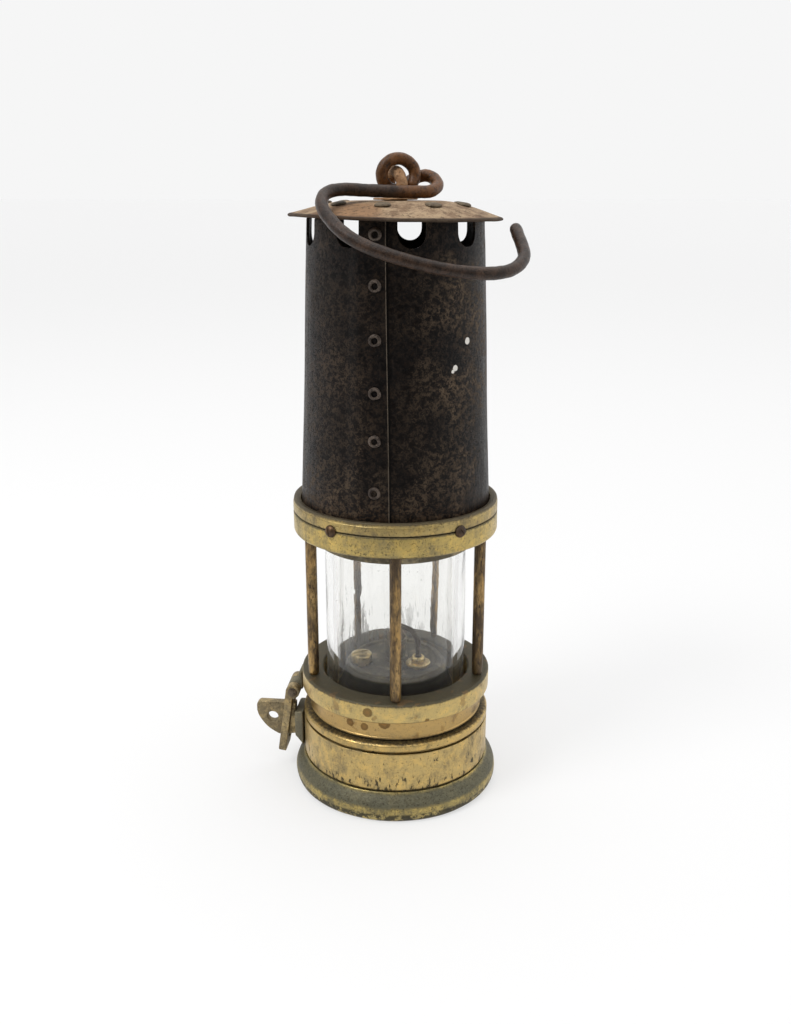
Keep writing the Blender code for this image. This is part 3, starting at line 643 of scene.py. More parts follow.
def old_glass():
    """Thick clear glass, hazy low down, with soot licked up its far side and fine upright smears."""
    paint = Finish("lamp_glass_look")
    smears = paint.noise(0.34, 5.0, 0.62, paint.stretched(0.12))
    fine = paint.noise(0.9, 5.0, 0.7, paint.stretched(0.4))
    base = low("glass_chimney")
    tide = paint.minus(paint.z, paint.window(smears, 0.44, 0.72, 0.0, 34.0))
    soot = paint.window(tide, base + 1.0, base + 9.0, 0.44, 0.0)
    soot = paint.times(soot, paint.window(paint.y, -8.0, 14.0, 0.0, 1.0))
    soot = paint.times(soot, paint.window(paint.x, -14.0, 16.0, 1.0, 0.4))
    mist = paint.window(paint.z, base + 4.0, base + 26.0, 0.016, 0.004)
    streak = paint.times(paint.window(smears, 0.55, 0.74), 0.045)
    specks = paint.times(paint.window(paint.noise(1.1, 3.0, 0.6), 0.69, 0.72), 0.35)
    haze = paint.plus(paint.plus(soot, mist), paint.plus(streak, specks))
    haze = paint.times(haze, paint.window(fine, 0.25, 0.6, 0.6, 1.0))
    colour = paint.mix(haze, (0.96, 0.96, 0.945, 1.0), srgb(112, 106, 94))
    rough = paint.window(haze, 0.0, 0.7, 0.015, 0.35)
    relief = paint.noise(0.16, 3.0, 0.5, paint.stretched(0.35))
    paint.set("Transmission Weight", paint.minus(1.0, haze))
    paint.set("IOR", 1.46)
    return paint.done(colour, rough, 0.0, paint.bump(relief, 0.12, 0.5))


def woven(name, colour):
    """Iron gauze: crossed wires round the cone and up it."""
    paint = Finish(name)
    turn = paint.times(paint.math("ARCTAN2", paint.y, paint.x), 90.0)
    hoops = paint.math("SINE", paint.times(paint.z, 4.2))
    weave = paint.most(paint.math("SINE", turn), hoops)
    tone = paint.mix(paint.window(weave, 0.1, 0.8), srgb(12, 10, 9), srgb(*colour))
    grime = paint.window(paint.noise(0.2, 4.0), 0.4, 0.65)
    tone = paint.over(tone, srgb(30, 22, 16), grime, 0.5)
    return paint.done(tone, 0.55, 0.7, paint.bump(weave, 0.8, 0.2))


def soft_stuff(name, colour, dark, scale):
    """Fibrous matter: wick cotton or gasket board."""
    paint = Finish(name)
    fibres = paint.noise(scale, 6.0, 0.7, paint.stretched(0.2))
    tone = paint.mix(paint.window(fibres, 0.35, 0.65), srgb(*dark), srgb(*colour))
    return paint.done(tone, 0.92, 0.0, paint.bump(fibres, 0.6, 0.2))


STAINS = (((-18.9, -32.3, 40.1), 2.1), ((-12.9, -35.1, 39.6), 2.1), ((-4.6, -37.1, 42.2), 2.9),
          ((-11.4, -39.2, 48.3), 2.4), ((12.9, -38.7, 44.6), 1.2))
BRASS = brass("vessel_brass", (188, 164, 110), (140, 124, 88), 0.32, ((11.4, 13.0),), foot=12.5)
# The flange's bands darken the groove by the collar, the place under its step and its top face: grime
# and painted shade. Its warm band is partly painted shade.
FLANGE = brass("flange_brass", (188, 166, 112), (120, 112, 88), 0.12,
               ((33.0, 35.2), (42.9, 43.6), (51.2, 52.7)), 0.3, pits=0.45,
               warm=(34.0, 43.4, (172, 138, 88)), grime=(60, 58, 47), spots=STAINS)
# The collar's bands darken its top under the lower ring and its groove: grime and painted shade.
COLLAR = brass("collar_brass", (186, 160, 104), (96, 90, 70), 0.14, ((33.7, 36.0), (29.6, 30.8)),
               grime=(36, 32, 25))
FOOT = brass("foot_brass", (178, 160, 104), (104, 98, 72), 0.50, ((6.4, 11.5),), pits=1.0,
             grime=(100, 98, 80), chips=4.0)
UPPER = brass("upper_ring_brass", (184, 162, 102), (138, 126, 90), 0.36, ((123.4, 124.4),), pits=1.0)
BONNET_BAND = brass("bonnet_ring_brass", (172, 152, 102), (118, 105, 76), 0.38,
                    ((128.7, 131.0), (124.0, 124.6)), pits=0.8, grime=(84, 75, 58))
PILLAR = brass("pillar_brass", (166, 138, 94), (58, 45, 33), 0.58, gloss=0.22, pits=1.0, upright=0.3)
LOCK = brass("lock_brass", (174, 156, 118), (118, 106, 82), 0.52, gloss=0.36, pits=0.8)
BOSS = brass("boss_brass", (146, 138, 114), (112, 108, 92), 0.80, gloss=0.42)
COPPER = brass("screw_copper", (96, 76, 58), (58, 45, 35), 0.60, gloss=0.36)
BURNER = brass("burner_brass", (150, 140, 116), (92, 86, 72), 0.66, ((20.0, 53.4),), gloss=0.42,
               grime=(26, 22, 18))
NUB = brass("burner_nub_brass", (214, 192, 140), (122, 106, 74), 0.26, gloss=0.22)
BONNET = bonnet_iron()
CAP = rust("cap_rust", (168, 145, 116), (120, 96, 74), (64, 47, 34),
           glow=((-18.0, -32.0, 243.0), 11.0, (142, 106, 74)), rim=(40.1, (44, 33, 26)))
CAP_RIVET = rust("cap_rivet_rust", (112, 98, 78), (82, 70, 54), (46, 38, 28), 2.0, 0.62)
HOOK = rust("hook_steel_look", (68, 50, 38), (38, 27, 20), (12, 9, 7), 1.6, 0.33, 0.0,
            glow=((9.0, 2.0, 254.0), 15.0, (116, 74, 36)))
EYE = rust("eye_rust", (178, 142, 106), (140, 104, 72), (72, 52, 38), 1.8, 0.72)
SEAM_RIVET = rust("seam_rivet_iron", (96, 84, 74), (52, 43, 37), (14, 11, 10), 2.2, 0.45, 0.0)
STEEL = rust("dark_steel", (112, 100, 84), (72, 62, 52), (34, 28, 24), 1.5, 0.45, 0.6)
GLASS = old_glass()
OUTER_WEAVE = woven("outer_gauze_weave", (88, 78, 68))
INNER_WEAVE = woven("inner_gauze_weave", (74, 66, 58))
GASKET = soft_stuff("gasket_board", (120, 112, 96), (62, 56, 48), 1.4)
WICK = soft_stuff("wick_cotton", (150, 134, 106), (58, 46, 36), 1.8)


def span(node):
    """A turned node's outer radius, top and foot."""
    return reach(node), high(node), low(node)


# Oil vessel --------------------------------------------------------------------------------------

def make_foot():
    r, top, _ = span("vessel_foot")
    inner = r - 5.9
    outline = softened((
        (r - 4.05, top), (r - 3.7, top - 0.6), (r - 3.4, top - 1.1), (r - 2.3, top - 2.1),
        (r - 1.0, top - 3.8), (r - 0.2, top - 5.8), (r, 4.6), (r - 0.15, 2.6), (r - 0.65, 1.0),
        (r - 1.5, 0.0), (inner, 0.0), (inner, top),
    ), 0.6)
    dress(lathe("foot_flare", outline, wobble=0.22), FOOT, "lamp", "brass_patina", "vessel_foot")


def make_base_plate():
    r, top, _ = span("vessel_base_plate")
    under = [(0.0, 0.5), (14.0, 0.5), (14.5, 0.0), (15.5, 0.0), (16.0, 0.6), (30.0, 0.6), (30.6, 0.0),
             (r, 0.0)]
    outline = [*under, (r, top), (0.0, top)]
    plate = lathe("base_plate_turned", outline, 96)
    bore = ((0.0, 6.0), (6.0, 6.0), (6.0, -2.0), (0.0, -2.0))
    hole = lathe("finger_hole", bore, 40, beside("pricker_tube"))
    plate = combined(plate, "DIFFERENCE", hole)
    dress(plate, LOCK, "lamp", "brass_patina", "vessel_base_plate")


def make_vessel():
    r = reach("vessel_body")
    shell = softened((
        (r - 1.5, 30.1), (r - 1.5, 29.5), (r, 29.4), (r, 13.1), (r - 0.45, 12.35), (r - 2.0, 12.3),
        (r - 2.0, 4.0), (r - 4.0, 4.0), (r - 4.0, 30.1),
    ), 0.35)
    dress(lathe("vessel_shell", shell, wobble=0.18), BRASS, "lamp", "brass", "vessel_body")
    r, top, foot = span("vessel_collar")
    band = softened((
        (r - 3.1, top), (r - 0.9, top - 0.1), (r, top - 0.8), (r, foot + 0.4), (r - 0.4, foot),
        (r - 5.8, foot), (r - 5.8, top),
    ), 0.3)
    dress(lathe("collar_band", band, wobble=0.12), COLLAR, "lamp", "brass", "vessel_collar")


def make_burner():
    r, deck, foot = span("burner_deck")
    deck_r = 24.6
    outline = softened((
        (5.4, deck - 1.6), (5.4, deck), (11.0, deck), (11.6, deck - 0.7), (17.6, deck - 0.7),
        (18.2, deck), (19.8, deck), (20.3, deck - 0.9), (21.4, deck - 1.0), (22.0, deck - 2.0),
        (22.2, deck - 8.0), (deck_r, deck - 9.0), (deck_r, foot + 1.4), (r, foot + 1.4), (r, foot),
        (deck_r - 1.4, foot),
        (deck_r - 3.6, deck - 9.0), (deck_r - 3.8, deck - 2.6), (5.4, deck - 2.6),
    ), 0.3)
    dress(lathe("burner_deck_turned", outline, 120), BURNER, "lamp", "brass_patina", "burner_deck")
    top, foot = high("wick_tube"), low("wick_tube")
    tube = softened((
        (4.9, top), (4.9, top - 2.0), (4.6, top - 2.4), (4.6, deck + 1.6), (5.3, deck + 1.4),
        (5.3, foot), (4.1, foot), (4.1, top),
    ), 0.25)
    dress(lathe("wick_tube_turned", tube, SMALL_STEPS), BURNER, "lamp", "brass_patina", "wick_tube")
    tuft = [(0.0, 68.0), (1.6, 67.8), (3.0, 67.2), (3.7, 65.8), (3.8, 64.0), (3.8, 22.0), (0.0, 22.0)]
    dress(lathe("wick_charred", tuft, 40, wobble=0.5, grain=0.9), WICK, "lamp", "wick", "wick")


def slotted_plug(name, place):
    top = high("filler_plug")
    outline = softened((
        (0.0, top), (2.6, top), (4.3, top - 0.7), (4.5, top - 1.2), (4.5, top - 4.4), (3.4, top - 4.5),
        (3.4, top - 9.5), (0.0, top - 9.5),
    ), 0.3, closed=False)
    made = lathe(name, outline, 48, place)
    turn = facing(28.0, place.translation + Vector((0.0, 0.0, top - 0.3)))
    slot = bar(f"{name}_slot", [(-6.0, 0.0, 0.5), (6.0, 0.0, 0.5)], 0.85, turn, 12)
    return combined(made, "DIFFERENCE", slot)


def make_burner_fittings():
    made = slotted_plug("filler_plug_turned", beside("filler_plug"))
    dress(made, NUB, "lamp", "brass", "filler_plug")
    _, top, foot = span("pricker_tube")
    deck = high("burner_deck")
    tube = softened((
        (2.5, top + 1.6), (2.9, top + 0.8), (2.9, top - 0.6), (2.4, top - 0.9), (2.4, deck + 2.2),
        (5.2, deck + 1.9), (5.2, deck + 0.9), (2.6, deck + 0.6), (2.3, foot), (1.7, foot),
        (1.7, top + 1.6),
    ), 0.25)
    made = lathe("pricker_gland", tube, SMALL_STEPS, beside("pricker_tube"))
    dress(made, NUB, "lamp", "brass_patina", "pricker_tube")


def make_pricker():
    at = middle("pricker_tube")
    foot = low("pricker")
    turn = heading(Vector((-at.x, -at.y, 0.0)))
    reach_in = math.hypot(at.x, at.y) - 1.5
    tip_z = high("pricker") - 1.3
    line = ((0, 0, foot + 1.4), (0, 0, 20.0), (0, 0, 40.0), (0, 0, tip_z - 6.8), (1.2, 0, tip_z - 2.8),
            (4.0, 0, tip_z - 0.3), (reach_in, 0, tip_z))
    rod = bar("pricker_rod", smooth_path(line, 1.2), 1.2, facing(turn, (at.x, at.y, 0.0)), 14, 0.12)
    dress(rod, STEEL, "pricker", "steel", "pricker")
    knob = softened((
        (0.0, foot + 2.3), (3.4, foot + 2.3), (4.3, foot + 1.8), (4.6, foot + 1.1), (4.3, foot + 0.4),
        (3.4, foot), (0.0, foot),
    ), 0.35, closed=False)
    made = lathe("pricker_knob", knob, SMALL_STEPS, beside("pricker_tube"))
    dress(made, NUB, "pricker", "brass")


# Frame, glass and gauze --------------------------------------------------------------------------

def make_lower_ring():
    r, top, foot = span("lower_ring")
    neck = r - 3.6
    outline = softened((
        (r - 0.8, top), (r, top - 0.7), (r, top - 7.9), (r - 0.7, top - 8.5), (neck, top - 8.9),
        (neck, foot + 1.6), (neck + 0.35, foot + 1.3), (neck + 0.35, foot + 0.5), (neck - 0.3, foot),
        (34.5, foot), (34.5, top - 9.8), (26.2, top - 9.8), (26.2, top - 8.1), (31.3, top - 8.1),
        (31.3, top - 0.9), (32.0, top),
    ), 0.35)
    dress(lathe("lower_ring_turned", outline, wobble=0.14), FLANGE, "lamp", "brass", "lower_ring")


def make_upper_ring():
    r, top, foot = span("upper_ring")
    outline = softened((
        (r - 0.3, top), (r, top - 0.4), (r, foot + 0.8), (r - 0.8, foot), (33.4, foot), (33.4, top),
    ), 0.4)
    dress(lathe("upper_ring_turned", outline, wobble=0.14), UPPER, "lamp", "brass", "upper_ring")
    r, top, foot = span("glass_top_collar")
    outline = softened((
        (r, top), (r, foot + 0.6), (r - 0.4, foot), (30.4, foot), (30.4, top - 2.5), (26.4, top - 2.5),
        (26.4, top),
    ), 0.25)
    made = lathe("glass_top_collar_turned", outline, 120)
    dress(made, BURNER, "lamp", "brass_patina", "glass_top_collar")


def make_bonnet_ring():
    r, top, foot = span("bonnet_ring")
    inner = r - 3.2
    outline = softened((
        (inner, top - 0.5), (r - 1.3, top), (r - 0.4, top - 0.2), (r - 0.15, top - 0.9),
        (r - 0.25, top - 1.5), (r, top - 1.8), (r, foot + 0.35), (r - 0.3, foot), (inner, foot),
    ), 0.28)
    made = lathe("bonnet_ring_turned", outline, wobble=0.14)
    dress(made, BONNET_BAND, "lamp", "brass", "bonnet_ring")


def make_pillars():
    base, top = high("lower_ring"), low("upper_ring")
    outline = softened((
        (0.0, top + 3.3), (1.55, top + 3.3), (1.55, top - 0.1), (2.2, top - 0.15), (2.38, top - 0.7),
        (2.38, base + 10.0), (2.3, base + 5.0), (2.2, base + 1.0), (2.0, base + 0.35),
        (1.55, base + 0.3), (1.55, base - 3.3), (0.0, base - 3.3),
    ), 0.3, closed=False)
    for i in range(1, 6):
        at = middle(f"pillar_{i}")
        place = facing(heading(at), (at.x, at.y, 0.0))
        made = lathe(f"pillar_turned_{i}", outline, 32, place, 0.14, 0.3)
        dress(made, PILLAR, "lamp", "brass_red", f"pillar_{i}")


def make_ring_screws():
    r, dome = reach("upper_ring"), 1.75
    outline = softened((
        (0.0, dome), (1.2, 1.6), (2.1, 1.0), (2.5, 0.35), (2.5, 0.12), (1.15, 0.1), (1.15, -2.1),
        (0.0, -2.1),
    ), 0.3, closed=False)
    slot_outline = ((-3.0, -0.22), (3.0, -0.22), (3.0, 0.22), (-3.0, 0.22))
    for i in range(1, 6):
        at = middle(f"ring_screw_{i}")
        place = outward(r, heading(at), at.z)
        head = lathe(f"ring_screw_domed_{i}", outline, 36, place)
        cut = place @ spun(37.0 * i, "Z") @ Matrix.Translation((0.0, 0.0, dome))
        slot = slab("screw_slot", slot_outline, 1.0, cut, edge=0.05)
        dress(combined(head, "DIFFERENCE", slot), COPPER, "lamp", "brass_red", f"ring_screw_{i}")


def make_glass():
    r, top, base = span("glass_chimney")
    inner, lip, rows = r - 4.8, 0.8, 12
    outer_rows = [(r, top - lip - (top - base - 2.0 * lip) * i / rows) for i in range(rows + 1)]
    inner_rows = [(inner, z) for _, z in reversed(outer_rows)]
    outline = [(r - lip, top), *outer_rows, (r - lip, base), (inner + lip, base), *inner_rows,
               (inner + lip, top)]
    made = lathe("glass_blown", outline, 144, wobble=0.30, grain=0.06)
    dress(made, GLASS, "lamp", "glass", "glass_chimney")


def gauze_cone(name, node, head, foot, flange, finish):
    """A wire cone with a folded top rim, between its head and foot radii. Flange is the radius of the
    rim at its foot, or 0."""
    top, base = high(node), low(node)
    wall, rows = 0.7, 24
    side = []
    for i in range(rows + 1):
        z = top - 1.2 - (top - base - 3.4) * i / rows
        side.append((head + (foot - head) * (top - z) / (top - base), z))
    rim = [(0.0, top - 0.3), (head - 2.4, top - 0.2), (head - 1.2, top), (head - 0.1, top - 0.3)]
    outer = [*rim, *side]
    skirt = [(flange, base + 0.8), (flange, base)] if flange else [(foot, base)]
    inner = [(r - wall, z) for r, z in reversed(side)]
    outline = [*outer, *skirt, (foot - wall, base), *inner, (0.0, top - 1.0)]
    dress(lathe(name, outline, 96), finish, "lamp", "gauze_steel", node)


# Bonnet and cap ----------------------------------------------------------------------------------

def cap_height(radius):
    """The cap's smooth top surface at a radius."""
    rim, crown = low("crown_cap") + 1.0, high("crown_cap")
    share = min(1.0, max(0.0, (reach("crown_cap") - radius) / 25.5))
    return rim + (crown - rim) * math.sin(share * math.pi / 2.0) ** 1.12


def droop(radius, azimuth):
    """How far the battered cap strays from its true shape."""
    share = max(0.0, (radius - 12.0) / 29.5) ** 2
    wave = noise.noise(polar(1.1, azimuth, 0.3)) * 0.8 + noise.noise(polar(3.2, azimuth, 2.0)) * 0.35
    lean = 1.3 * math.cos(math.radians(azimuth - 165.0))
    return share * (wave * 0.55 + lean * 0.6 + 0.75)


def make_cap():
    r = reach("crown_cap")
    hole = 2.8
    rows = [r - 0.35, r - 1.2, r - 2.6, *[r - 4.2 - i * 2.0 for i in range(17)], hole]
    top = [(radius, cap_height(radius)) for radius in rows]
    under = [(radius, z - 1.0) for radius, z in reversed(top)]
    rim = arc((r - 0.4, cap_height(r) - 0.45), 0.42, -80.0, 80.0, 5)
    outline = [*reversed(top), *reversed(rim), *reversed(under)]
    made = lathe("cap_sheet", outline, RING_STEPS, None, 0.0, lift=droop)
    dress(made, CAP, "lamp", "rusted_iron", "crown_cap")


def make_cap_rivets():
    outline = softened((
        (0.0, 1.0), (1.7, 0.95), (2.7, 0.6), (3.05, 0.1), (2.8, -0.2), (1.2, -0.2), (1.2, -3.4),
        (2.0, -3.4), (1.7, -4.2), (0.0, -4.3),
    ), 0.3, closed=False)
    for i in range(1, 10):
        at = middle(f"cap_rivet_{i}")
        turn = heading(at)
        radius = math.hypot(at.x, at.y)
        height = cap_height(radius) + droop(radius, turn)
        place = facing(turn, (at.x, at.y, height + 0.15)) @ spun(9.0, "Y")
        made = lathe(f"cap_rivet_head_{i}", outline, 28, place, 0.5, 0.4 + 0.01 * i)
        dress(made, CAP_RIVET, "lamp", "rusted_iron", f"cap_rivet_{i}")


def climb(z):
    """0 at the bonnet's foot and 1 at its top."""
    return (z - BONNET_FOOT_Z) / (BONNET_TOP_Z - BONNET_FOOT_Z)


def bonnet_radius(z):
    return 38.95 - 4.5 * climb(z)


def sheet_turns():
    """Azimuths from the under end of the bonnet's sheet round to the lap's outer edge."""
    start, end = -110.0, 360.0 + LAP_EDGE
    count = 376
    return [start + (end - start) * i / count for i in range(count + 1)]


def lap_rise(azimuth):
    """How far the sheet stands out where it laps over its own other end."""
    rise = min(1.0, max(0.0, (azimuth - 239.0) / 10.0))
    return 0.98 * rise * rise * (3.0 - 2.0 * rise)


def vent_edge(radius, azimuth, z):
    """(azimuth of the nearest vent, offset across it, height over its centre, distance outside it)."""
    pitch = 360.0 / VENT_COUNT
    nearest = round(azimuth / pitch) * pitch
    across = radius * math.sin(math.radians(azimuth - nearest))
    rise = z - VENT_BOTTOM_Z - VENT_WIDTH / 2.0
    away = abs(across) if rise > 0.0 else math.hypot(across, rise)
    return nearest, across, rise, away - VENT_WIDTH / 2.0


def on_vent_edge(radius, azimuth, z):
    """The point of the sheet moved onto the outline of the vent beside it."""
    nearest, across, rise, outside = vent_edge(radius, azimuth, z)
    half = VENT_WIDTH / 2.0
    if rise > 0.0:
        across = math.copysign(half, across)
    else:
        scale = half / (outside + half)
        across, z = across * scale, z - rise + rise * scale
    return nearest + math.degrees(math.asin(across / radius)), z


def bonnet_profile():
    foot, top = low("bonnet"), BONNET_TOP_Z
    divide, last = VENT_BOTTOM_Z - 2.5, top - 1.0
    plain = [foot + (divide - foot) * i / 52 for i in range(52)]
    vented = [divide + (last - divide) * i / 24 for i in range(25)]
    rim = bonnet_radius(top)
    flange = [(rim - 0.12, top - 0.45), (rim - 0.5, top - 0.1), (rim - 1.2, top + 0.15)]
    flange += [(r, cap_height(r) - 1.5) for r in (31.5, 29.5, 27.5, 25.5, 23.5)]
    return [(bonnet_radius(z), z) for z in plain + vented] + flange


def sheet_point(radius, azimuth, z):
    """A point of the sheet, with its lap's step, its slanting lapped edge and its small dents."""
    turn = azimuth - LAP_SLANT * climb(z) * max(0.0, (azimuth - 240.0) / 26.6)
    push = lap_rise(azimuth) * (1.0 if z < BONNET_TOP_Z - 0.2 else 0.3)
    push += ripple(polar(radius, turn, z * 0.4), 0.35, 0.05)
    return polar(radius + push, turn, z)


def make_bonnet():
    profile, turns = bonnet_profile(), sheet_turns()
    width = len(turns)
    spots = [(radius, azimuth, z) for radius, z in profile for azimuth in turns]
    outside = [vent_edge(*spot)[3] for spot in spots]
    kept, gone = [], set()
    for row in range(len(profile) - 1):
        for i in range(width - 1):
            a = row * width + i
            face = (a, a + 1, a + 1 + width, a + width)
            if sum(outside[k] for k in face) < 0.0:
                gone.update(face)
            else:
                kept.append(face)
    used = {k for face in kept for k in face}
    for k in gone & used:
        radius, azimuth, z = spots[k]
        spots[k] = (radius, *on_vent_edge(radius, azimuth, z))
    order = {k: n for n, k in enumerate(sorted(used))}
    corners = [sheet_point(*spots[k]) for k in sorted(used)]
    sheet = mesh_object("bonnet_sheet", corners, [[order[k] for k in face] for face in kept])
    thick = sheet.modifiers.new("sheet", "SOLIDIFY")
    thick.thickness = 0.85 * MM
    thick.offset = -1.0
    dress(baked(sheet), BONNET, "lamp", "bonnet_iron", "bonnet")


def make_seam_rivets():
    """Rivets set from outside: a raised rim round a hollow middle."""
    outline = softened((
        (0.0, -0.6), (1.1, -0.55), (1.3, 0.45), (1.65, 0.85), (2.1, 0.6), (2.45, 0.0), (2.4, -0.3),
        (1.0, -0.3), (1.0, -1.9), (1.8, -1.9), (1.5, -2.5), (0.0, -2.6),
    ), 0.2, closed=False)
    for i in range(1, 7):
        at = middle(f"seam_rivet_{i}")
        place = outward(bonnet_radius(at.z) + 0.95, SEAM_AZIMUTH, at.z)
        made = lathe(f"seam_rivet_set_{i}", outline, 32, place, 0.25, 0.5)
        dress(made, SEAM_RIVET, "lamp", "bonnet_iron", f"seam_rivet_{i}")


# Swivel and hook ---------------------------------------------------------------------------------

def hook_line():
    """The hook's centreline as (along the straight limb, forward, height) points."""
    eye_r, eye_rise, pitch, bottom = 6.3, 5.6, 5.2, 250.8
    first, last = -45.0, 300.0
    count = 46
    eye = []
    for i in range(count + 1):
        degrees = first + (last - first) * i / count
        angle = math.radians(degrees)
        forward = pitch * (270.0 - degrees) / 360.0
        eye.append((eye_r * math.cos(angle), forward, bottom + eye_rise * (1.0 + math.sin(angle))))
    back = [(7.8, -0.9, 254.6), (11.8, 1.6, 256.0)]
    slope = math.radians(31.4)
    flat = [
        (14.3, -8.0), (13.8, -3.0), (9.6, 0.7), (4.0, 1.2), (-6.0, 0.9), (-17.0, 0.2), (-26.0, -0.5),
        (-32.8, 1.9), (-36.5, 7.3), (-37.6, 13.5), (-37.0, 19.5), (-35.6, 25.5), (-32.8, 31.3),
        (-28.4, 36.4), (-22.0, 41.4), (-14.0, 46.2), (-5.0, 50.2), (3.5, 52.4), (11.0, 53.3),
        (18.0, 52.4), (24.0, 49.4), (28.8, 44.4), (31.2, 38.4), (32.6, 32.5), (33.9, 26.8),
    ]
    drooped = [(u, 11.0 + v * math.cos(slope), 250.6 - v * math.sin(slope)) for u, v in flat]
    return [*eye[:-1], *smooth_path([eye[-1], *back, *drooped], 1.2)]


def make_hook():
    line = [(along, -forward, z) for along, forward, z in hook_line()]
    made = bar("hook_bar", line, 2.33, facing(HOOK_AZIMUTH), 24, 0.16, 0.5)
    dress(made, HOOK, "hook", "hook_steel", "hook")


def make_swivel():
    under, top = low("swivel_washer"), high("crown_cap")
    plate_low = top + 0.3
    outline = softened((
        (0.0, plate_low + 0.8), (7.9, plate_low + 0.75), (8.6, plate_low + 0.5), (8.5, plate_low),
        (2.5, plate_low), (2.5, under - 0.3), (3.6, under - 0.3), (3.4, under - 1.0),
        (2.4, under - 1.7), (0.0, under - 1.7),
    ), 0.25, closed=False)
    turn = facing(HOOK_AZIMUTH)
    base = lathe("swivel_plate", outline, SMALL_STEPS, turn, 0.3, 0.3)
    leg, bend = 6.0, high("swivel_eye") - 8.1
    bow = [(0.0, y, z) for y, z in arc((0.0, bend), leg, 0.0, 180.0, 20)]
    rise = [(0.0, leg, plate_low + 0.3), (0.0, leg, plate_low + 1.8)]
    line = [*rise, *bow, *[(x, -y, z) for x, y, z in reversed(rise)]]
    staple = bar("swivel_staple", line, 2.2, turn, 20, 0.2, 0.5)
    dress(combined(base, "UNION", staple), EYE, "swivel", "rusted_iron", "swivel_eye")


# Lock --------------------------------------------------------------------------------------------

def lock_pin_place(x, z):
    """A placing at the lock whose +Z lies along the hinge pin."""
    return facing(LOCK_AZIMUTH) @ Matrix.Translation((x, 0.0, z)) @ spun(-90.0, "X")


def lock_plane():
    """A placing at the lock whose X heads outward and Y up."""
    return facing(LOCK_AZIMUTH) @ spun(90.0, "X")


PIN_R, PIN_Z, LEAN = 45.0, 38.8, 8.5
KNUCKLE_R, KNUCKLE_BORE, KNUCKLE_HALF, BARREL_HALF = 3.1, 1.95, 3.0, 7.6


def knuckle(name, start, end):
    outline = ((0.0, end), (KNUCKLE_R, end), (KNUCKLE_R, start), (0.0, start))
    return lathe(name, softened(outline, 0.4, closed=False), 40, lock_pin_place(PIN_R, PIN_Z))


def pin_bore():
    past = 14.0
    outline = ((0.0, past), (KNUCKLE_BORE, past), (KNUCKLE_BORE, -past), (0.0, -past))
    return lathe("pin_bore", outline, 32, lock_pin_place(PIN_R, PIN_Z))


def make_hasp():
    """The strap that closes over the ear: two knuckles on the pin and a long slot."""
    inner, outer, end, corner, half = KNUCKLE_HALF + 0.3, BARREL_HALF, -31.4, 2.5, 6.2
    outline = [
        (-outer, 0.0), (-outer, -4.6), (-half - 0.6, -6.2), (-half, -8.0),
        *arc((-half + corner, end + corner), corner, 180, 270, 8),
        *arc((half - corner, end + corner), corner, 270, 360, 8), (half, -8.0), (half + 0.6, -6.2),
        (outer, -4.6), (outer, 0.0), (inner, 0.0), (inner, -4.2), (-inner, -4.2), (-inner, 0.0),
    ]
    slot = [(-2.4, -7.4), (2.4, -7.4), (2.4, -27.0), (-2.4, -27.0)]
    pin = Matrix.Translation((PIN_R, 0.0, PIN_Z))
    across = Matrix(((0, 0, 1, 0), (1, 0, 0, 0), (0, 1, 0, 0), (0, 0, 0, 1)))
    lean = spun(-LEAN, "Y") @ Matrix.Translation((1.4, 0.0, 0.0))
    place = facing(LOCK_AZIMUTH) @ pin @ lean @ across
    strap = slab("hasp_strap", outline, 3.3, place, (slot,), 0.3)
    knuckles = (knuckle("front_knuckle", inner, outer), knuckle("back_knuckle", -outer, -inner))
    strap = combined(strap, "UNION", *knuckles)
    dress(combined(strap, "DIFFERENCE", pin_bore()), LOCK, "hasp", "brass_patina", "hasp")


def block(name, least, most, edge):
    """A block at the lock with rounded edges, between two corners in the lock's frame."""
    sides = list(zip(least, most))
    corners = [(x, y, z) for x in sides[0] for y in sides[1] for z in sides[2]]
    faces = [(0, 1, 3, 2), (4, 6, 7, 5), (0, 4, 5, 1), (2, 3, 7, 6), (0, 2, 6, 4), (1, 5, 7, 3)]
    return bevelled(mesh_object(name, corners, faces, facing(LOCK_AZIMUTH)), edge)


def make_bracket():
    face = reach("lower_ring") + 0.35
    foot = block("bracket_foot", (face, -4.6, 44.3), (face + 1.4, 4.6, 47.2), 0.45)
    arm = block("bracket_arm", (face + 0.1, -KNUCKLE_HALF + 0.1, PIN_Z - 0.6),
                (PIN_R - 2.3, KNUCKLE_HALF - 0.1, 44.9), 0.4)
    bored = softened((
        (KNUCKLE_BORE, KNUCKLE_HALF), (KNUCKLE_R, KNUCKLE_HALF), (KNUCKLE_R, -KNUCKLE_HALF),
        (KNUCKLE_BORE, -KNUCKLE_HALF),
    ), 0.3)
    barrel = lathe("middle_knuckle", bored, 40, lock_pin_place(PIN_R, PIN_Z))
    made = combined(foot, "UNION", arm, barrel)
    dress(made, BOSS, "lamp", "brass_patina", "hasp_bracket")
    half = BARREL_HALF + 0.8
    head = [(0.0, half), (1.2, half - 0.1), (2.0, half - 0.4), (2.1, half - 0.85), (1.65, half - 0.9)]
    outline = softened([*head, *[(r, -z) for r, z in reversed(head)]], 0.2, closed=False)
    made = lathe("hasp_pin_peened", outline, 32, lock_pin_place(PIN_R, PIN_Z))
    dress(made, STEEL, "lamp", "steel", "hasp_pin")


def make_boss():
    face = reach("vessel_body") + 0.4
    top, foot = high("lock_boss"), low("lock_boss")
    outline = [(face, top), (43.2, top), *arc((43.4, top - 1.1), 1.1, 80.0, 0.0, 4), (44.5, foot + 5.6),
               *arc((43.0, foot + 5.2), 1.5, 0.0, -60.0, 4), (face, foot + 0.1)]
    made = slab("lock_boss_filed", outline, 14.0, lock_plane(), edge=0.6)
    dress(made, BOSS, "lamp", "brass_patina", "lock_boss")


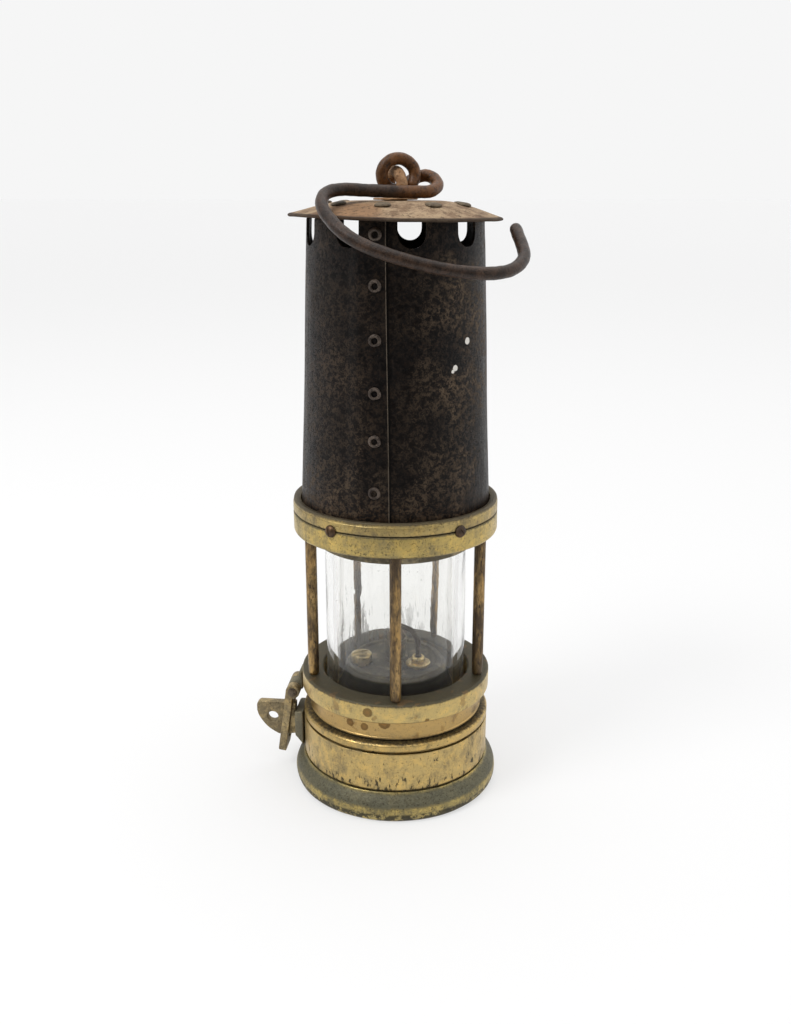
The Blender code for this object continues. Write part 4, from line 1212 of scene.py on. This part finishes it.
def make_ear():
    top, corner = high("lock_ear"), 2.2
    root, tip = 44.8, 62.8
    curve = ((51.5, 14.4), (53.6, 14.9), (57.7, 17.6), (60.4, 20.7), (62.1, 23.6), (tip, 26.0))
    lower = smooth_path([(*p, 0.0) for p in curve], 0.8)
    outline = [(root, top), (root, 15.4), *[(p.x, p.y) for p in lower],
               *arc((tip - corner, top - corner), corner, 0, 90, 8)]
    hole = arc((55.6, 23.3), 2.4, 0, 350, 35)
    made = slab("lock_ear_filed", outline, 3.6, lock_plane(), (hole,), 0.55)
    dress(made, LOCK, "lamp", "brass_patina", "lock_ear")


def repaint(node, finish):
    """Gives a CAD node that is carried over its new material."""
    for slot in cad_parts[node].material_slots:
        slot.material = finish


# Studio ------------------------------------------------------------------------------------------

def make_floor(name, nearest, farthest, lit):
    """A white floor from one distance behind the lamp to another. Unlit, only the camera sees it."""
    half = 30.0
    mesh = bpy.data.meshes.new(name)
    corners = [(-half, nearest, 0), (half, nearest, 0), (half, farthest, 0), (-half, farthest, 0)]
    mesh.from_pydata(corners, [], [(0, 1, 2, 3)])
    floor = added(name, mesh)
    paint = Finish(name + "_white")
    paint.set("Emission Color", (1.0, 1.0, 1.0, 1.0))
    paint.set("Emission Strength", paint.window(paint.y, 200.0, 6000.0, 0.54, 0.553))
    paint.set("Specular IOR Level", 0.1)
    mesh.materials.append(paint.done((0.36, 0.36, 0.36, 1.0), 0.8, 0.0))
    floor.visible_diffuse = lit
    floor.visible_glossy = lit
    floor.visible_transmission = lit


def make_world():
    """A white surround for the camera. The lamp is lit by a brighter one that is dark in front, bright
    above and stronger on the right."""
    world = bpy.data.worlds.new("studio")
    bpy.context.scene.world = world
    world.use_nodes = True
    world.node_tree.nodes.clear()
    sky = Nodes(world.node_tree)
    x, y, z = sky.add("SeparateXYZ", {0: sky.add("TexCoord")["Generated"]})
    front = sky.window(y, -0.95, -0.25, 0.16, 1.12)
    above = sky.window(z, 0.25, 0.8, 0.0, 1.2)
    across = sky.window(x, -1.0, 1.0, 0.74, 1.36, "LINEAR")
    lit = sky.add("Background", {"Strength": sky.times(sky.most(front, above), across)})[0]
    seen = sky.add("Background", {"Color": WHITE_BACK})[0]
    to_camera = sky.add("LightPath")["Is Camera Ray"]
    chosen = sky.add("MixShader", {0: to_camera, 1: lit, 2: seen})[0]
    output = world.node_tree.nodes.new("ShaderNodeOutputWorld")
    sky.link(chosen, output.inputs["Surface"])


def make_light(name, spot, target, size, power):
    data = bpy.data.lights.new(name, "AREA")
    data.shape = "DISK"
    data.size = size
    data.energy = power
    made = added(name, data)
    made.location = spot
    made.rotation_euler = (Vector(target) - Vector(spot)).to_track_quat("-Z", "Y").to_euler()


def make_camera():
    data = bpy.data.cameras.new("camera")
    data.sensor_width = 36.0
    data.lens = 36.42
    data.clip_start = 0.01
    camera = added("camera", data)
    camera.location = (0.0, -0.4161, 0.2505)
    camera.rotation_euler = (math.radians(72.75), 0.0, 0.0)
    bpy.context.scene.camera = camera


make_foot()
make_base_plate()
make_vessel()
make_burner()
make_burner_fittings()
make_pricker()
make_lower_ring()
make_upper_ring()
make_bonnet_ring()
make_pillars()
make_ring_screws()
make_glass()
gauze_cone("outer_gauze_cone", "outer_gauze", 23.0, 28.6, 32.6, OUTER_WEAVE)
gauze_cone("inner_gauze_cone", "inner_gauze", 20.6, 26.6, 0.0, INNER_WEAVE)
make_cap()
make_cap_rivets()
make_bonnet()
make_seam_rivets()
make_hook()
make_swivel()
make_hasp()
make_bracket()
make_boss()
make_ear()
for node, finish in (("vessel_neck", BURNER), ("lower_gasket", GASKET), ("upper_gasket", GASKET),
                     ("gauze_seat", BURNER), ("swivel_washer", STEEL)):
    repaint(node, finish)

make_floor("floor", -0.5, 30.0, True)
make_floor("floor_ahead", -30.0, -0.5, False)
make_world()
make_light("key_top_left", (-0.7, -0.5, 1.1), (0.0, 0.0, 0.12), 0.5, 7.0)
make_light("overhead", (0.1, 0.2, 1.6), (0.0, 0.0, 0.0), 1.6, 5.0)
make_camera()
bpy.context.scene.view_settings.view_transform = "Standard"
